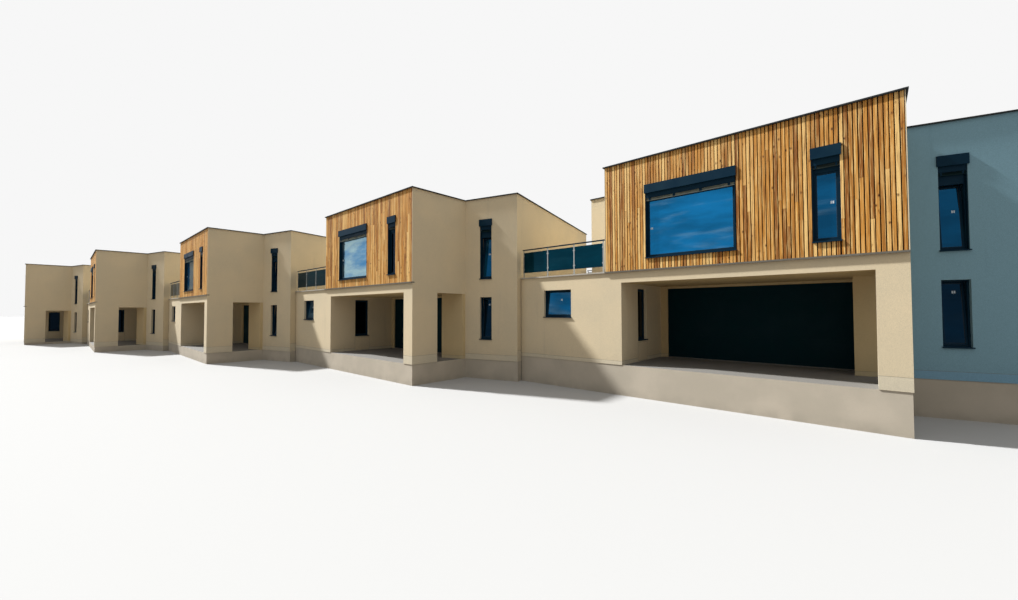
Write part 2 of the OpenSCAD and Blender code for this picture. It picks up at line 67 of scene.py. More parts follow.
def cut_block(work, place, x, y, z):
    """A squared piece between the low and high x, y and z of the frame that place gives."""
    corners = [work.verts.new(place @ Vector((x[i], y[j], z[k])))
               for k in (0, 1) for j in (0, 1) for i in (0, 1)]
    sides = ((0, 2, 3, 1), (4, 5, 7, 6), (0, 1, 5, 4), (2, 6, 7, 3), (0, 4, 6, 2), (1, 3, 7, 5))
    return [work.faces.new([corners[n] for n in side]) for side in sides]


def cut_ring(work, place, x, y, z, face):
    """Four squared pieces round an opening, such as a frame, with the uprights full height."""
    cut_block(work, place, (x[0], x[0] + face), y, z)
    cut_block(work, place, (x[1] - face, x[1]), y, z)
    cut_block(work, place, (x[0] + face, x[1] - face), y, (z[0], z[0] + face))
    cut_block(work, place, (x[0] + face, x[1] - face), y, (z[1] - face, z[1]))


def cut_rod(work, place, start, end, radius, sides=8):
    """A round bar between two points of the frame that place gives."""
    axis = (end - start).normalized()
    across = axis.orthogonal().normalized()
    upright = axis.cross(across)
    rings = []
    for point in (start, end):
        turns = [2 * math.pi * n / sides for n in range(sides)]
        rings.append([work.verts.new(place @ (point + radius * (math.cos(turn) * across
                                                                + math.sin(turn) * upright)))
                      for turn in turns])
    for n in range(sides):
        m = (n + 1) % sides
        work.faces.new((rings[0][n], rings[0][m], rings[1][m], rings[1][n]))
    work.faces.new(rings[0][::-1])
    work.faces.new(rings[1])


def fit_piece(name, work, finish, arris=0.0, replaced=()):
    """Turns what was cut into a named piece, breaks its edges and fixes it to the row."""
    mesh = bpy.data.meshes.new(name)
    work.to_mesh(mesh)
    work.free()
    mesh.materials.append(finish)
    piece = bpy.data.objects.new(name, mesh)
    bpy.context.scene.collection.objects.link(piece)
    if arris:
        edge = piece.modifiers.new("broken edges", "BEVEL")
        edge.width = arris
        edge.segments = 1
        edge.limit_method = "ANGLE"
    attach(piece, "root")
    if replaced:
        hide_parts(*replaced)
    return piece


# Rendered walls. Block walls with insulation and a cream scraped render, which is rubbed
# while it sets and so has a fine even grain. Rain leaves faint streaks, and a plinth coat
# runs along the foot, with a shadow line on top of it.
SIDE_D = 1.215
BAY_W = 1.115
BAY_LEFT = SIDE_D * math.sin(SKEW)
BAY_RIGHT = BAY_LEFT + BAY_W
JOINT_W = 0.010
END_FACE_SLACK = 0.000005
LOW_PLINTH = 0.057
WALL_PLINTH = 0.100
PIER_PLINTH = 0.143
CREAM = (0.665, 0.565, 0.385, 1)
CREAM_WARM = (0.715, 0.597, 0.398, 1)
END_BAY_GREY = (0.215, 0.385, 0.470, 1)
# Painted porch shade, multiplied onto the render of the porch jambs, lintels and hall fronts.
PAINTED_PORCH_SHADE = (0.85, 0.78, 0.62, 1)
# Painted shade for faces that look down, such as porch ceilings.
PAINTED_UNDERSIDE_SHADE = (0.76, 0.64, 0.42, 1)
CREAM_STAIN = (0.740, 0.750, 0.790, 1)
PLINTH_CREAM = (0.980, 1.030, 1.120, 1)
PLINTH_LINE = (0.20, 0.175, 0.13, 1)
PLINTH_LINE_H = 0.004


def new_finish(name, roughness, metallic=0.0):
    finish = bpy.data.materials.new(name)
    finish.use_nodes = True
    surface = finish.node_tree.nodes["Principled BSDF"]
    surface.inputs["Roughness"].default_value = roughness
    surface.inputs["Metallic"].default_value = metallic
    return finish, finish.node_tree, surface


def add(tree, kind, inputs, out=0, **settings):
    """Adds a shader node, sets or links its inputs, and gives the socket that comes out."""
    part = tree.nodes.new("ShaderNode" + kind)
    for name, value in settings.items():
        setattr(part, name, value)
    for name, value in inputs.items():
        if isinstance(value, bpy.types.NodeSocket):
            tree.links.new(value, part.inputs[name])
        else:
            part.inputs[name].default_value = value
    return part.outputs[out]


def sums(tree, operation, a, b):
    return add(tree, "Math", {0: a, 1: b}, operation=operation)


def tone_mix(tree, amount, under, over, mode="MIX"):
    return add(tree, "Mix", {0: amount, 6: under, 7: over}, out=2, data_type="RGBA",
               blend_type=mode)


def ramp(tree, value, low, high, to_low=0.0, to_high=1.0):
    """Maps a value between low and high to a smooth step between to_low and to_high."""
    return add(tree, "MapRange", {0: value, 1: low, 2: high, 3: to_low, 4: to_high},
               interpolation_type="SMOOTHSTEP")


def stretched(tree, place, scale):
    return add(tree, "Mapping", {"Vector": place, "Scale": scale})


def noise(tree, place, scale, detail=3.0, roughness=0.5):
    return add(tree, "TexNoise", {"Vector": place, "Scale": scale, "Detail": detail,
                                  "Roughness": roughness})


def bump(tree, surface, height, strength, distance):
    normal = add(tree, "Bump", {"Height": height, "Strength": strength, "Distance": distance})
    tree.links.new(normal, surface.inputs["Normal"])


def house_from_right(tree, place):
    """Number of the house that a point of the row belongs to: 0 for the highest one.

    The outer face of the right end wall counts as one house further up, so its plinth
    coat stands one step higher than on the bay beside it.
    """
    right_end = first_corner.x + BAY_RIGHT - END_FACE_SLACK
    from_right = sums(tree, "SUBTRACT", right_end,
                      add(tree, "SeparateXYZ", {"Vector": place}))
    return add(tree, "Math", {0: sums(tree, "DIVIDE", from_right, PITCH)}, operation="FLOOR")


def scraped_render(name, plinth_top, painted_porch_shade=False, end_bay=False):
    """Render on a wall, with painted shade in the porches and on faces that look down, and grey on
    the front of the highest bay.
    """
    finish, tree, surface = new_finish(name, 0.92)
    place = add(tree, "TexCoord", {}, out=3)
    facing = tree.nodes.new("ShaderNodeSeparateXYZ")
    tree.links.new(tree.nodes.new("ShaderNodeNewGeometry").outputs["Normal"], facing.inputs[0])
    house = house_from_right(tree, place)
    height = sums(tree, "ADD", add(tree, "SeparateXYZ", {"Vector": place}, out=2),
                  sums(tree, "MULTIPLY", house, DROP))
    height = sums(tree, "SUBTRACT", height, first_porch_floor)
    clouds = noise(tree, place, 1.3, 4.0)
    tone = tone_mix(tree, ramp(tree, clouds, 0.35, 0.65), CREAM, CREAM_WARM)
    if end_bay:
        in_bay = sums(tree, "GREATER_THAN", add(tree, "SeparateXYZ", {"Vector": place}),
                      first_corner.x + BAY_LEFT - JOINT_W / 2)
        in_front = sums(tree, "LESS_THAN", facing.outputs["X"], 0.5)
        tone = tone_mix(tree, sums(tree, "MULTIPLY", in_bay, in_front), tone, END_BAY_GREY)
    # Painted shade in the porches: the render is multiplied darker.
    if painted_porch_shade:
        tone = tone_mix(tree, 1.0, tone, PAINTED_PORCH_SHADE, "MULTIPLY")
    # Painted shade: faces that look down are multiplied darker.
    tone = tone_mix(tree, sums(tree, "LESS_THAN", facing.outputs["Z"], -0.5), tone, PAINTED_UNDERSIDE_SHADE,
                    "MULTIPLY")
    streaks = noise(tree, stretched(tree, place, (9, 9, 0.5)), 1.0, 5.0, 0.6)
    tone = tone_mix(tree, ramp(tree, streaks, 0.56, 0.80, 0.0, 0.35), tone, CREAM_STAIN,
                    "MULTIPLY")
    grain = noise(tree, place, 260.0, 2.0)
    speck = ramp(tree, grain, 0.30, 0.70, 0.82, 1.12)
    tone = tone_mix(tree, 1.0, tone, add(tree, "CombineColor", {0: speck, 1: speck, 2: speck}),
                    "MULTIPLY")
    splash = sums(tree, "MULTIPLY", ramp(tree, height, 0.0, 0.30, 0.45, 0.0),
                  noise(tree, place, 14.0, 4.0))
    tone = tone_mix(tree, splash, tone, CREAM_STAIN, "MULTIPLY")
    in_plinth = sums(tree, "LESS_THAN", height, plinth_top)
    tone = tone_mix(tree, in_plinth, tone, PLINTH_CREAM, "MULTIPLY")
    gap = add(tree, "Math", {0: height, 1: plinth_top, 2: PLINTH_LINE_H / 2},
              operation="COMPARE")
    tone = tone_mix(tree, sums(tree, "MULTIPLY", gap, 0.8), tone, PLINTH_LINE)
    tree.links.new(tone, surface.inputs["Base Color"])
    relief = sums(tree, "SUBTRACT", grain, sums(tree, "MULTIPLY", gap, 1.5))
    bump(tree, surface, relief, 0.5, 0.0015)
    return finish


def give_finish(finish, *nodes):
    for name in nodes:
        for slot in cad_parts[name].material_slots:
            slot.material = finish


give_finish(scraped_render("cream scraped render, low plinth", LOW_PLINTH),
            "front_walls", "porch_side_walls")
# The porch jambs, lintels and hall fronts carry painted porch shade.
give_finish(scraped_render("cream scraped render, sheltered", LOW_PLINTH, painted_porch_shade=True),
            "garage_jambs", "garage_lintels", "hall_front_walls")
give_finish(scraped_render("cream scraped render, bays", WALL_PLINTH, end_bay=True),
            "bay_walls", "upper_bay_walls", "first_floors")
give_finish(scraped_render("cream scraped render, high plinth", PIER_PLINTH), "porch_piers")
give_finish(scraped_render("cream scraped render", WALL_PLINTH),
            "hall_side_walls", "party_walls", "rear_walls",
            "upper_front_walls", "upper_side_walls", "terrace_walls", "gable_walls",
            "upper_rear_walls", "end_parapet")


# Base walls. The houses step down the slope on concrete bases, whose tops are the brushed
# grey porch floors. The sides are faced with a thin grey-cream plinth plaster, a little
# splashed along the foot.
BASE_GREY = (0.470, 0.420, 0.335, 1)
BASE_PALE = (0.540, 0.480, 0.385, 1)
BASE_WET = (0.330, 0.295, 0.235, 1)
PORCH_FLOOR = (0.150, 0.143, 0.130, 1)


def plinth_plaster():
    finish, tree, surface = new_finish("plinth plaster", 0.85)
    place = add(tree, "TexCoord", {}, out=3)
    tone = tone_mix(tree, ramp(tree, noise(tree, place, 2.2, 5.0), 0.35, 0.7),
                    BASE_GREY, BASE_PALE)
    height = add(tree, "SeparateXYZ", {"Vector": place}, out=2)
    splash = sums(tree, "MULTIPLY", ramp(tree, height, 0.0, 0.16, 0.6, 0.0),
                  ramp(tree, noise(tree, place, 6.0, 5.0), 0.2, 0.8))
    tone = tone_mix(tree, splash, tone, BASE_WET)
    facing = tree.nodes.new("ShaderNodeNewGeometry").outputs["Normal"]
    upwards = add(tree, "SeparateXYZ", {"Vector": facing}, out=2)
    tone = tone_mix(tree, sums(tree, "GREATER_THAN", upwards, 0.5), tone, PORCH_FLOOR)
    grain = noise(tree, place, 180.0, 3.0)
    tone = tone_mix(tree, ramp(tree, grain, 0.55, 0.75, 0.0, 0.3), tone, BASE_WET)
    tree.links.new(tone, surface.inputs["Base Color"])
    bump(tree, surface, grain, 0.6, 0.002)
    return finish


give_finish(plinth_plaster(), "bases")


# Flat roofs. A slab with falls and insulation, under slated felt that is rolled out in
# sheets and torched down, with lapped seams.
FELT_LENGTH = 3.75
FELT_WIDTH = 0.5
FELT_LAP = 0.006
FELT = (0.105, 0.108, 0.110, 1)
FELT_PALE = (0.160, 0.160, 0.155, 1)
FELT_SEAM = (0.045, 0.046, 0.048, 1)


def slated_felt():
    finish, tree, surface = new_finish("slated roofing felt", 0.95)
    place = add(tree, "TexCoord", {}, out=3)
    sheets = tree.nodes.new("ShaderNodeTexBrick")
    tree.links.new(place, sheets.inputs["Vector"])
    for name, value in (("Color1", FELT), ("Color2", FELT_PALE), ("Mortar", FELT_SEAM),
                        ("Scale", 1.0), ("Mortar Size", FELT_LAP), ("Mortar Smooth", 0.3),
                        ("Brick Width", FELT_LENGTH), ("Row Height", FELT_WIDTH)):
        sheets.inputs[name].default_value = value
    slate = noise(tree, place, 420.0, 2.0)
    pools = noise(tree, place, 0.9, 4.0)
    tone = tone_mix(tree, ramp(tree, slate, 0.45, 0.75, 0.0, 0.55), sheets.outputs["Color"],
                    FELT_PALE)
    tone = tone_mix(tree, ramp(tree, pools, 0.52, 0.70, 0.0, 0.40), tone, FELT_SEAM)
    tree.links.new(tone, surface.inputs["Base Color"])
    relief = sums(tree, "ADD", slate, sums(tree, "MULTIPLY", sheets.outputs["Fac"], 4.0))
    bump(tree, surface, relief, 0.6, 0.0015)
    return finish


give_finish(slated_felt(), "roofs")


# Timber front. Narrow larch boards are screwed upright to battens over a black membrane,
# with open joints between them. Some are butted from two lengths, and they are cut round
# the windows. A nib of render covers their edge at each end of the front.
FRONT_W = 3.370
NIB_W = 0.008
FLOOR_H = 1.400
UPPER_H = 1.660
DRIP_H = 0.020
ROOF_EDGE_T = 0.016
BOARDS = 83
BOARD_JOINT = 0.0098
BOARD_T = 0.011
BOARD_FOOT = FLOOR_H + DRIP_H
BOARD_TOP = FLOOR_H + UPPER_H - ROOF_EDGE_T
BOARD_WANDER = 0.0008
BOARD_PROUD = (0.0004, 0.0016)
BOARD_ARRIS = 0.0012
NARROWEST_STRIP = 0.004
BUTTED_SHARE = 0.55
BUTT_GAP = 0.0012
BUTT_MARGIN = 0.25
SCREW_ROWS = (1.447, 1.831, 2.229, 2.627, 3.013)
SCREW_R = 0.0021
SCREW_PROUD = 0.0003
TIMBER_BACK = 0.050
MEMBRANE_Y = 0.034
BIG_W = 1.166
BIG_X = (-1.550 - BIG_W, -1.550)
SLIM_W = 0.250
SLIM_X = (-0.524 - SLIM_W, -0.524)
UPPER_SILL = FLOOR_H + 0.174
UPPER_HEAD = FLOOR_H + 1.245
LARCH_DARK = (0.270, 0.090, 0.006, 1)
LARCH_MID = (0.600, 0.268, 0.042, 1)
LARCH_PALE = (0.960, 0.680, 0.275, 1)
LARCH_KNOT = (0.060, 0.018, 0.003, 1)
LARCH_BROWN = (0.150, 0.042, 0.002, 1)
MEMBRANE_BLACK = (0.010, 0.003, 0.0005, 1)
MEMBRANE_DUST = (0.022, 0.008, 0.002, 1)
SCREW_STEEL = (0.35, 0.33, 0.30, 1)


def oiled_larch():
    finish, tree, surface = new_finish("oiled larch boards", 0.6)
    surface.inputs["Specular IOR Level"].default_value = 0.3
    place = add(tree, "TexCoord", {}, out=3)
    board = add(tree, "Attribute", {}, out=2, attribute_name="board_tone")
    shift = sums(tree, "MULTIPLY", board, 37.0)

    def along_board(scale, detail, stretch):
        fibres = stretched(tree, place, (stretch, stretch, 1.0))
        return add(tree, "TexNoise", {"Vector": fibres, "W": shift, "Scale": scale,
                                      "Detail": detail, "Roughness": 0.6},
                   noise_dimensions="4D")

    tone = tone_mix(tree, ramp(tree, board, 0.0, 0.5), LARCH_DARK, LARCH_MID)
    tone = tone_mix(tree, ramp(tree, board, 0.5, 1.0, 0.0, 0.70), tone, LARCH_PALE)
    growth = along_board(1.7, 4.0, 22.0)
    tone = tone_mix(tree, ramp(tree, growth, 0.48, 0.66, 0.0, 0.45), tone, LARCH_PALE)
    tone = tone_mix(tree, ramp(tree, growth, 0.47, 0.30, 0.0, 0.50), tone, LARCH_DARK)
    streak = along_board(3.0, 2.0, 46.0)
    tone = tone_mix(tree, ramp(tree, streak, 0.53, 0.66, 0.0, 0.62), tone, LARCH_PALE)
    tone = tone_mix(tree, ramp(tree, streak, 0.46, 0.33, 0.0, 0.75), tone, LARCH_BROWN)
    fibre = along_board(5.0, 3.0, 60.0)
    tone = tone_mix(tree, ramp(tree, fibre, 0.52, 0.72, 0.0, 0.60), tone, LARCH_BROWN)
    knot_place = add(tree, "VectorMath", {0: stretched(tree, place, (20, 20, 11.0)), 1: shift},
                     operation="ADD")
    knots = add(tree, "TexVoronoi", {"Vector": knot_place, "Scale": 1.0})
    sound = ramp(tree, noise(tree, stretched(tree, place, (11, 11, 3.0)), 1.0, 1.0), 0.46, 0.56,
                 0.25, 0.0)
    knots = sums(tree, "ADD", knots, sound)
    tone = tone_mix(tree, ramp(tree, knots, 0.30, 0.12, 0.0, 0.55), tone, LARCH_BROWN)
    tone = tone_mix(tree, ramp(tree, knots, 0.15, 0.06, 0.0, 0.95), tone, LARCH_KNOT)
    tree.links.new(tone, surface.inputs["Base Color"])
    tree.links.new(ramp(tree, fibre, 0.3, 0.7, 0.50, 0.72), surface.inputs["Roughness"])
    bump(tree, surface, fibre, 0.35, 0.0012)
    return finish


def black_membrane():
    finish, tree, surface = new_finish("black membrane", 0.9)
    place = add(tree, "TexCoord", {}, out=3)
    weave = noise(tree, place, 500.0, 2.0)
    tree.links.new(tone_mix(tree, weave, MEMBRANE_BLACK, MEMBRANE_DUST),
                   surface.inputs["Base Color"])
    bump(tree, surface, weave, 0.3, 0.001)
    return finish


def stainless_screws():
    finish, tree, surface = new_finish("stainless screws", 0.35, 1.0)
    place = add(tree, "TexCoord", {}, out=3)
    scratches = noise(tree, place, 900.0, 2.0)
    tree.links.new(tone_mix(tree, scratches, SCREW_STEEL, LARCH_KNOT),
                   surface.inputs["Base Color"])
    bump(tree, surface, scratches, 0.2, 0.0003)
    return finish


def strips_of_board(left, right):
    """The upright strips that a board is sawn into where a window's side runs through it."""
    cuts = sorted({left, right, *(x for x in BIG_X + SLIM_X if left < x < right)})
    return [(a, b) for a, b in zip(cuts, cuts[1:]) if b - a > NARROWEST_STRIP]


def over_window(left, right):
    middle = (left + right) / 2
    return any(low < middle < high for low, high in (BIG_X, SLIM_X))


chance = random.Random(83)
boards = bmesh.new()
tone_layer = boards.faces.layers.float.new("board_tone")
membrane = bmesh.new()
screws = bmesh.new()
step = (FRONT_W - 2 * NIB_W) / BOARDS
for place in turned:
    for n in range(BOARDS):
        left = NIB_W - FRONT_W + (n + 0.5) * step - (step - BOARD_JOINT) / 2
        left += chance.uniform(-BOARD_WANDER, BOARD_WANDER)
        right = left + step - BOARD_JOINT
        proud = chance.uniform(*BOARD_PROUD)
        tones = [min(1.0, max(0.0, chance.gauss(0.50, 0.30))) for _ in range(2)]
        butt = chance.uniform(BOARD_FOOT + BUTT_MARGIN, BOARD_TOP - BUTT_MARGIN)
        if chance.random() > BUTTED_SHARE:
            butt = BOARD_TOP
        for a, b in strips_of_board(left, right):
            if over_window(a, b):
                pieces = [((BOARD_FOOT, UPPER_SILL), tones[0]), ((UPPER_HEAD, BOARD_TOP), tones[1])]
            elif butt < BOARD_TOP:
                pieces = [((BOARD_FOOT, butt - BUTT_GAP), tones[0]), ((butt, BOARD_TOP), tones[1])]
            else:
                pieces = [((BOARD_FOOT, BOARD_TOP), tones[0])]
            for ends, tone in pieces:
                for face in cut_block(boards, place, (a, b), (proud, BOARD_T + proud), ends):
                    face[tone_layer] = tone
                for z in SCREW_ROWS:
                    if ends[0] < z < ends[1]:
                        x = (a + b) / 2
                        cut_rod(screws, place, Vector((x, proud - SCREW_PROUD, z)),
                                Vector((x, BOARD_T, z)), SCREW_R, 6)
    inner = (NIB_W - FRONT_W, -NIB_W)
    for x, z in (((inner[0], BIG_X[0]), (BOARD_FOOT, BOARD_TOP)),
                 ((BIG_X[1], SLIM_X[0]), (BOARD_FOOT, BOARD_TOP)),
                 ((SLIM_X[1], inner[1]), (BOARD_FOOT, BOARD_TOP)),
                 (BIG_X, (BOARD_FOOT, UPPER_SILL)), (BIG_X, (UPPER_HEAD, BOARD_TOP)),
                 (SLIM_X, (BOARD_FOOT, UPPER_SILL)), (SLIM_X, (UPPER_HEAD, BOARD_TOP))):
        cut_block(membrane, place, x, (MEMBRANE_Y, TIMBER_BACK), z)
fit_piece("timber_boards", boards, oiled_larch(), BOARD_ARRIS, ("timber_cladding",))
fit_piece("cladding_membrane", membrane, black_membrane())
fit_piece("board_screws", screws, stainless_screws())


# Dark metal. Folded aluminium with a dark teal powder coat makes the sills, blind boxes,
# window frames and the linings that close the boards' cut ends. A grey-brown sheet covers
# the roof edge in lapped lengths, and another one drips off the foot of the timber.
TEAL = (0.0030, 0.0200, 0.0400, 1)
TEAL_PALE = (0.0070, 0.0320, 0.0520, 1)
EDGE_BROWN = (0.028, 0.032, 0.034, 1)
EDGE_PALE = (0.062, 0.064, 0.062, 1)
EDGE_LAP = (0.015, 0.014, 0.013, 1)
DRIP_BROWN = (0.150, 0.138, 0.115, 1)
DRIP_PALE = (0.210, 0.195, 0.165, 1)
LAP_STEP = 1.25
LAP_W = 0.006
METAL_GLOSS = 0.06
LINING_T = 0.003
LINING_FRONT = 0.002


def powder_coat(name, deep, pale, roughness, gloss=METAL_GLOSS, lapped=False):
    finish, tree, surface = new_finish(name, roughness)
    surface.inputs["Specular IOR Level"].default_value = gloss
    place = add(tree, "TexCoord", {}, out=3)
    dust = noise(tree, place, 3.5, 5.0, 0.6)
    tone = tone_mix(tree, ramp(tree, dust, 0.42, 0.75, 0.0, 0.6), deep, pale)
    if lapped:
        along = add(tree, "SeparateXYZ", {"Vector": place})
        lengths = add(tree, "Math", {0: sums(tree, "DIVIDE", along, LAP_STEP)},
                      operation="FRACT")
        lap = sums(tree, "LESS_THAN", lengths, LAP_W / LAP_STEP)
        tone = tone_mix(tree, lap, tone, EDGE_LAP)
    peel = noise(tree, place, 350.0, 2.0)
    tree.links.new(tone, surface.inputs["Base Color"])
    tree.links.new(ramp(tree, dust, 0.3, 0.7, roughness - 0.08, roughness + 0.12),
                   surface.inputs["Roughness"])
    bump(tree, surface, peel, 0.12, 0.0006)
    return finish


window_metal = powder_coat("teal powder coat", TEAL, TEAL_PALE, 0.45)
give_finish(window_metal, "window_frames", "window_sashes", "window_sills", "blind_boxes")
give_finish(powder_coat("grey-brown edge sheet", EDGE_BROWN, EDGE_PALE, 0.5, lapped=True),
            "roof_edges")
give_finish(powder_coat("grey-brown drip sheet", DRIP_BROWN, DRIP_PALE, 0.5), "drip_edges")

linings = bmesh.new()
for place in turned:
    for low, high in (BIG_X, SLIM_X):
        cut_ring(linings, place, (low, high), (LINING_FRONT, TIMBER_BACK),
                 (UPPER_SILL, UPPER_HEAD), LINING_T)
fit_piece("window_linings", linings, window_metal)


# Terrace edge. Pale cast stones lie along the front edge of each roof terrace, bedded in
# mortar, with a joint every half metre.
STONE_PALE = (0.430, 0.400, 0.340, 1)
STONE_WARM = (0.380, 0.350, 0.295, 1)
STONE_JOINT = (0.260, 0.240, 0.200, 1)
STONE_STEP = 0.5
STONE_JOINT_W = 0.006


def cast_stone():
    finish, tree, surface = new_finish("pale cast stone", 0.75)
    place = add(tree, "TexCoord", {}, out=3)
    tone = tone_mix(tree, ramp(tree, noise(tree, place, 6.0, 5.0), 0.35, 0.7),
                    STONE_PALE, STONE_WARM)
    along = tree.nodes.new("ShaderNodeSeparateXYZ")
    tree.links.new(add(tree, "VectorRotate", {"Vector": place, "Angle": SKEW},
                       rotation_type="Z_AXIS"), along.inputs[0])
    joint = sums(tree, "LESS_THAN",
                 add(tree, "Math", {0: sums(tree, "DIVIDE", along.outputs["X"], STONE_STEP)},
                     operation="FRACT"), STONE_JOINT_W / STONE_STEP)
    tone = tone_mix(tree, joint, tone, STONE_JOINT)
    speck = noise(tree, place, 300.0, 2.0)
    tone = tone_mix(tree, ramp(tree, speck, 0.58, 0.72, 0.0, 0.5), tone, STONE_JOINT)
    tree.links.new(tone, surface.inputs["Base Color"])
    bump(tree, surface, sums(tree, "SUBTRACT", speck, sums(tree, "MULTIPLY", joint, 3.0)),
         0.4, 0.001)
    return finish


give_finish(cast_stone(), "terrace_stones")


# Terrace deck. Square concrete slabs lie loose on pads, a few millimetres apart, from the
# edge stones back to the rear. They are cut to the slanted walls and keep clear of them.
WALL_T = 0.200
BLOCK_D = 4.450
SET_BACK = 1.463
WING_W = 1.090
BAY_Y = SIDE_D * math.cos(SKEW)
REAR_Y = BAY_Y + BLOCK_D
PARTY_X = BAY_RIGHT - PITCH + JOINT_W
WING_X = SET_BACK * math.sin(SKEW) - (FRONT_W + WING_W) * math.cos(SKEW)
STONES_BACK = RENDER_Y + WALL_T
PAD_H = 0.002
SLAB_T = 0.014
SLAB_Z = (FLOOR_H + PAD_H, FLOOR_H + PAD_H + SLAB_T)
SLAB_ROWS = 16
SLAB_COLUMNS = 3
SLAB_STEP = 0.3226
SLAB_GAP = 0.003
SLAB_EDGE = 0.008
SLAB_REAR = 0.070
SLAB_GREY = (0.120, 0.117, 0.110, 1)
SLAB_PALE = (0.170, 0.165, 0.153, 1)


def washed_concrete():
    finish, tree, surface = new_finish("washed concrete slabs", 0.85)
    place = add(tree, "TexCoord", {}, out=3)
    slab = add(tree, "Attribute", {}, out=2, attribute_name="slab_tone")
    tone = tone_mix(tree, slab, SLAB_GREY, SLAB_PALE)
    chips = noise(tree, place, 160.0, 3.0)
    tone = tone_mix(tree, ramp(tree, chips, 0.50, 0.70, 0.0, 0.6), tone, STONE_JOINT)
    tree.links.new(tone, surface.inputs["Base Color"])
    bump(tree, surface, chips, 0.5, 0.001)
    return finish


def trim_slabs(work, place, x, y, normal):
    """Cuts off what lies on the side that the normal points to, and closes the cuts."""
    plane = place @ Vector((x, y, 0))
    facing = place.to_3x3() @ Vector(normal)
    cut = bmesh.ops.bisect_plane(work, geom=work.verts[:] + work.edges[:] + work.faces[:],
                                 plane_co=plane, plane_no=facing, clear_outer=True)
    edges = [part for part in cut["geom_cut"] if isinstance(part, bmesh.types.BMEdge)]
    bmesh.ops.holes_fill(work, edges=edges, sides=0)


deck = bmesh.new()
deck.faces.layers.float.new("slab_tone")
for line, front in zip(in_line, turned):
    for beside_wing in (False, True):
        part = bmesh.new()
        slab_tone = part.faces.layers.float.new("slab_tone")
        start = WING_X - SLAB_EDGE
        columns = range(SLAB_COLUMNS) if beside_wing else range(-SLAB_COLUMNS, 0)
        for column in columns:
            for row in range(SLAB_ROWS):
                x = start + column * SLAB_STEP
                y = REAR_Y - SLAB_REAR - (row + 1) * SLAB_STEP
                tone = chance.random()
                for face in cut_block(part, line, (x + SLAB_GAP, x + SLAB_STEP),
                                      (y + SLAB_GAP, y + SLAB_STEP), SLAB_Z):
                    face[slab_tone] = tone
        trim_slabs(part, front, 0, STONES_BACK + SLAB_EDGE, (0, -1, 0))
        trim_slabs(part, line, PARTY_X + SLAB_EDGE, 0, (-1, 0, 0))
        if beside_wing:
            trim_slabs(part, front, 0, SET_BACK - SLAB_EDGE, (0, 1, 0))
            trim_slabs(part, front, -FRONT_W - SLAB_EDGE, 0, (1, 0, 0))
        part_mesh = bpy.data.meshes.new("slabs")
        part.to_mesh(part_mesh)
        part.free()
        deck.from_mesh(part_mesh)
        bpy.data.meshes.remove(part_mesh)
fit_piece("terrace_slabs", deck, washed_concrete())


# Movement joints. A soft grey sealing strip is pressed into the gap between two houses, up
# the front, along the top and down the rear.
SEAL_GREY = (0.080, 0.076, 0.070, 1)
SEAL_PALE = (0.150, 0.142, 0.130, 1)


def soft_seal():
    finish, tree, surface = new_finish("soft grey seal", 0.7)
    place = add(tree, "TexCoord", {}, out=3)
    skin = noise(tree, place, 60.0, 4.0)
    tree.links.new(tone_mix(tree, skin, SEAL_GREY, SEAL_PALE), surface.inputs["Base Color"])
    bump(tree, surface, skin, 0.3, 0.001)
    return finish


seal = soft_seal()
give_finish(seal, "movement_joints")


# Terrace rails. Square aluminium posts on foot plates carry a flat dark handrail, and
# sheets of dark tinted glass are held between the posts by small clamps.
RAIL_END = 0.024
RAIL_IN = 0.030
RAIL_LEFT = (PARTY_X - RENDER_Y * math.sin(SKEW)) / math.cos(SKEW) + RAIL_END
STONE_T = 0.022
FOOT_W = 0.044
FOOT_T = 0.006
POST_W = 0.018
RAIL_GLASS_T = 0.010
BOLT_IN = 0.015
BOLT_R = 0.0030
BOLT_H = 0.0035
CLAMP_W = 0.011
CLAMP_H = 0.018
CLAMP_OUT = 0.009
CLAMP_Z = (1.570, 1.821)
CLAMP_ARRIS = 0.0015
ALUMINIUM = (0.46, 0.47, 0.46, 1)
ALUMINIUM_DULL = (0.30, 0.31, 0.31, 1)
# Dark rail glass; its colour varies as a painted sky reflection, with painted cloud reflections.
RAIL_TINT = (0.001, 0.045, 0.075, 1)
RAIL_TINT_DEEP = (0.0005, 0.030, 0.052, 1)
RAIL_PAINTED_CLOUDS = (0.030, 0.120, 0.170, 1)
RAIL_MIRROR = 0.40
RAIL_CLEAR = 0.25


def brushed_aluminium():
    finish, tree, surface = new_finish("brushed aluminium", 0.4, 0.85)
    place = add(tree, "TexCoord", {}, out=3)
    brush = noise(tree, stretched(tree, place, (400, 400, 12)), 1.0, 3.0)
    tree.links.new(tone_mix(tree, brush, ALUMINIUM, ALUMINIUM_DULL),
                   surface.inputs["Base Color"])
    tree.links.new(ramp(tree, brush, 0.3, 0.7, 0.30, 0.50), surface.inputs["Roughness"])
    bump(tree, surface, brush, 0.08, 0.0005)
    return finish


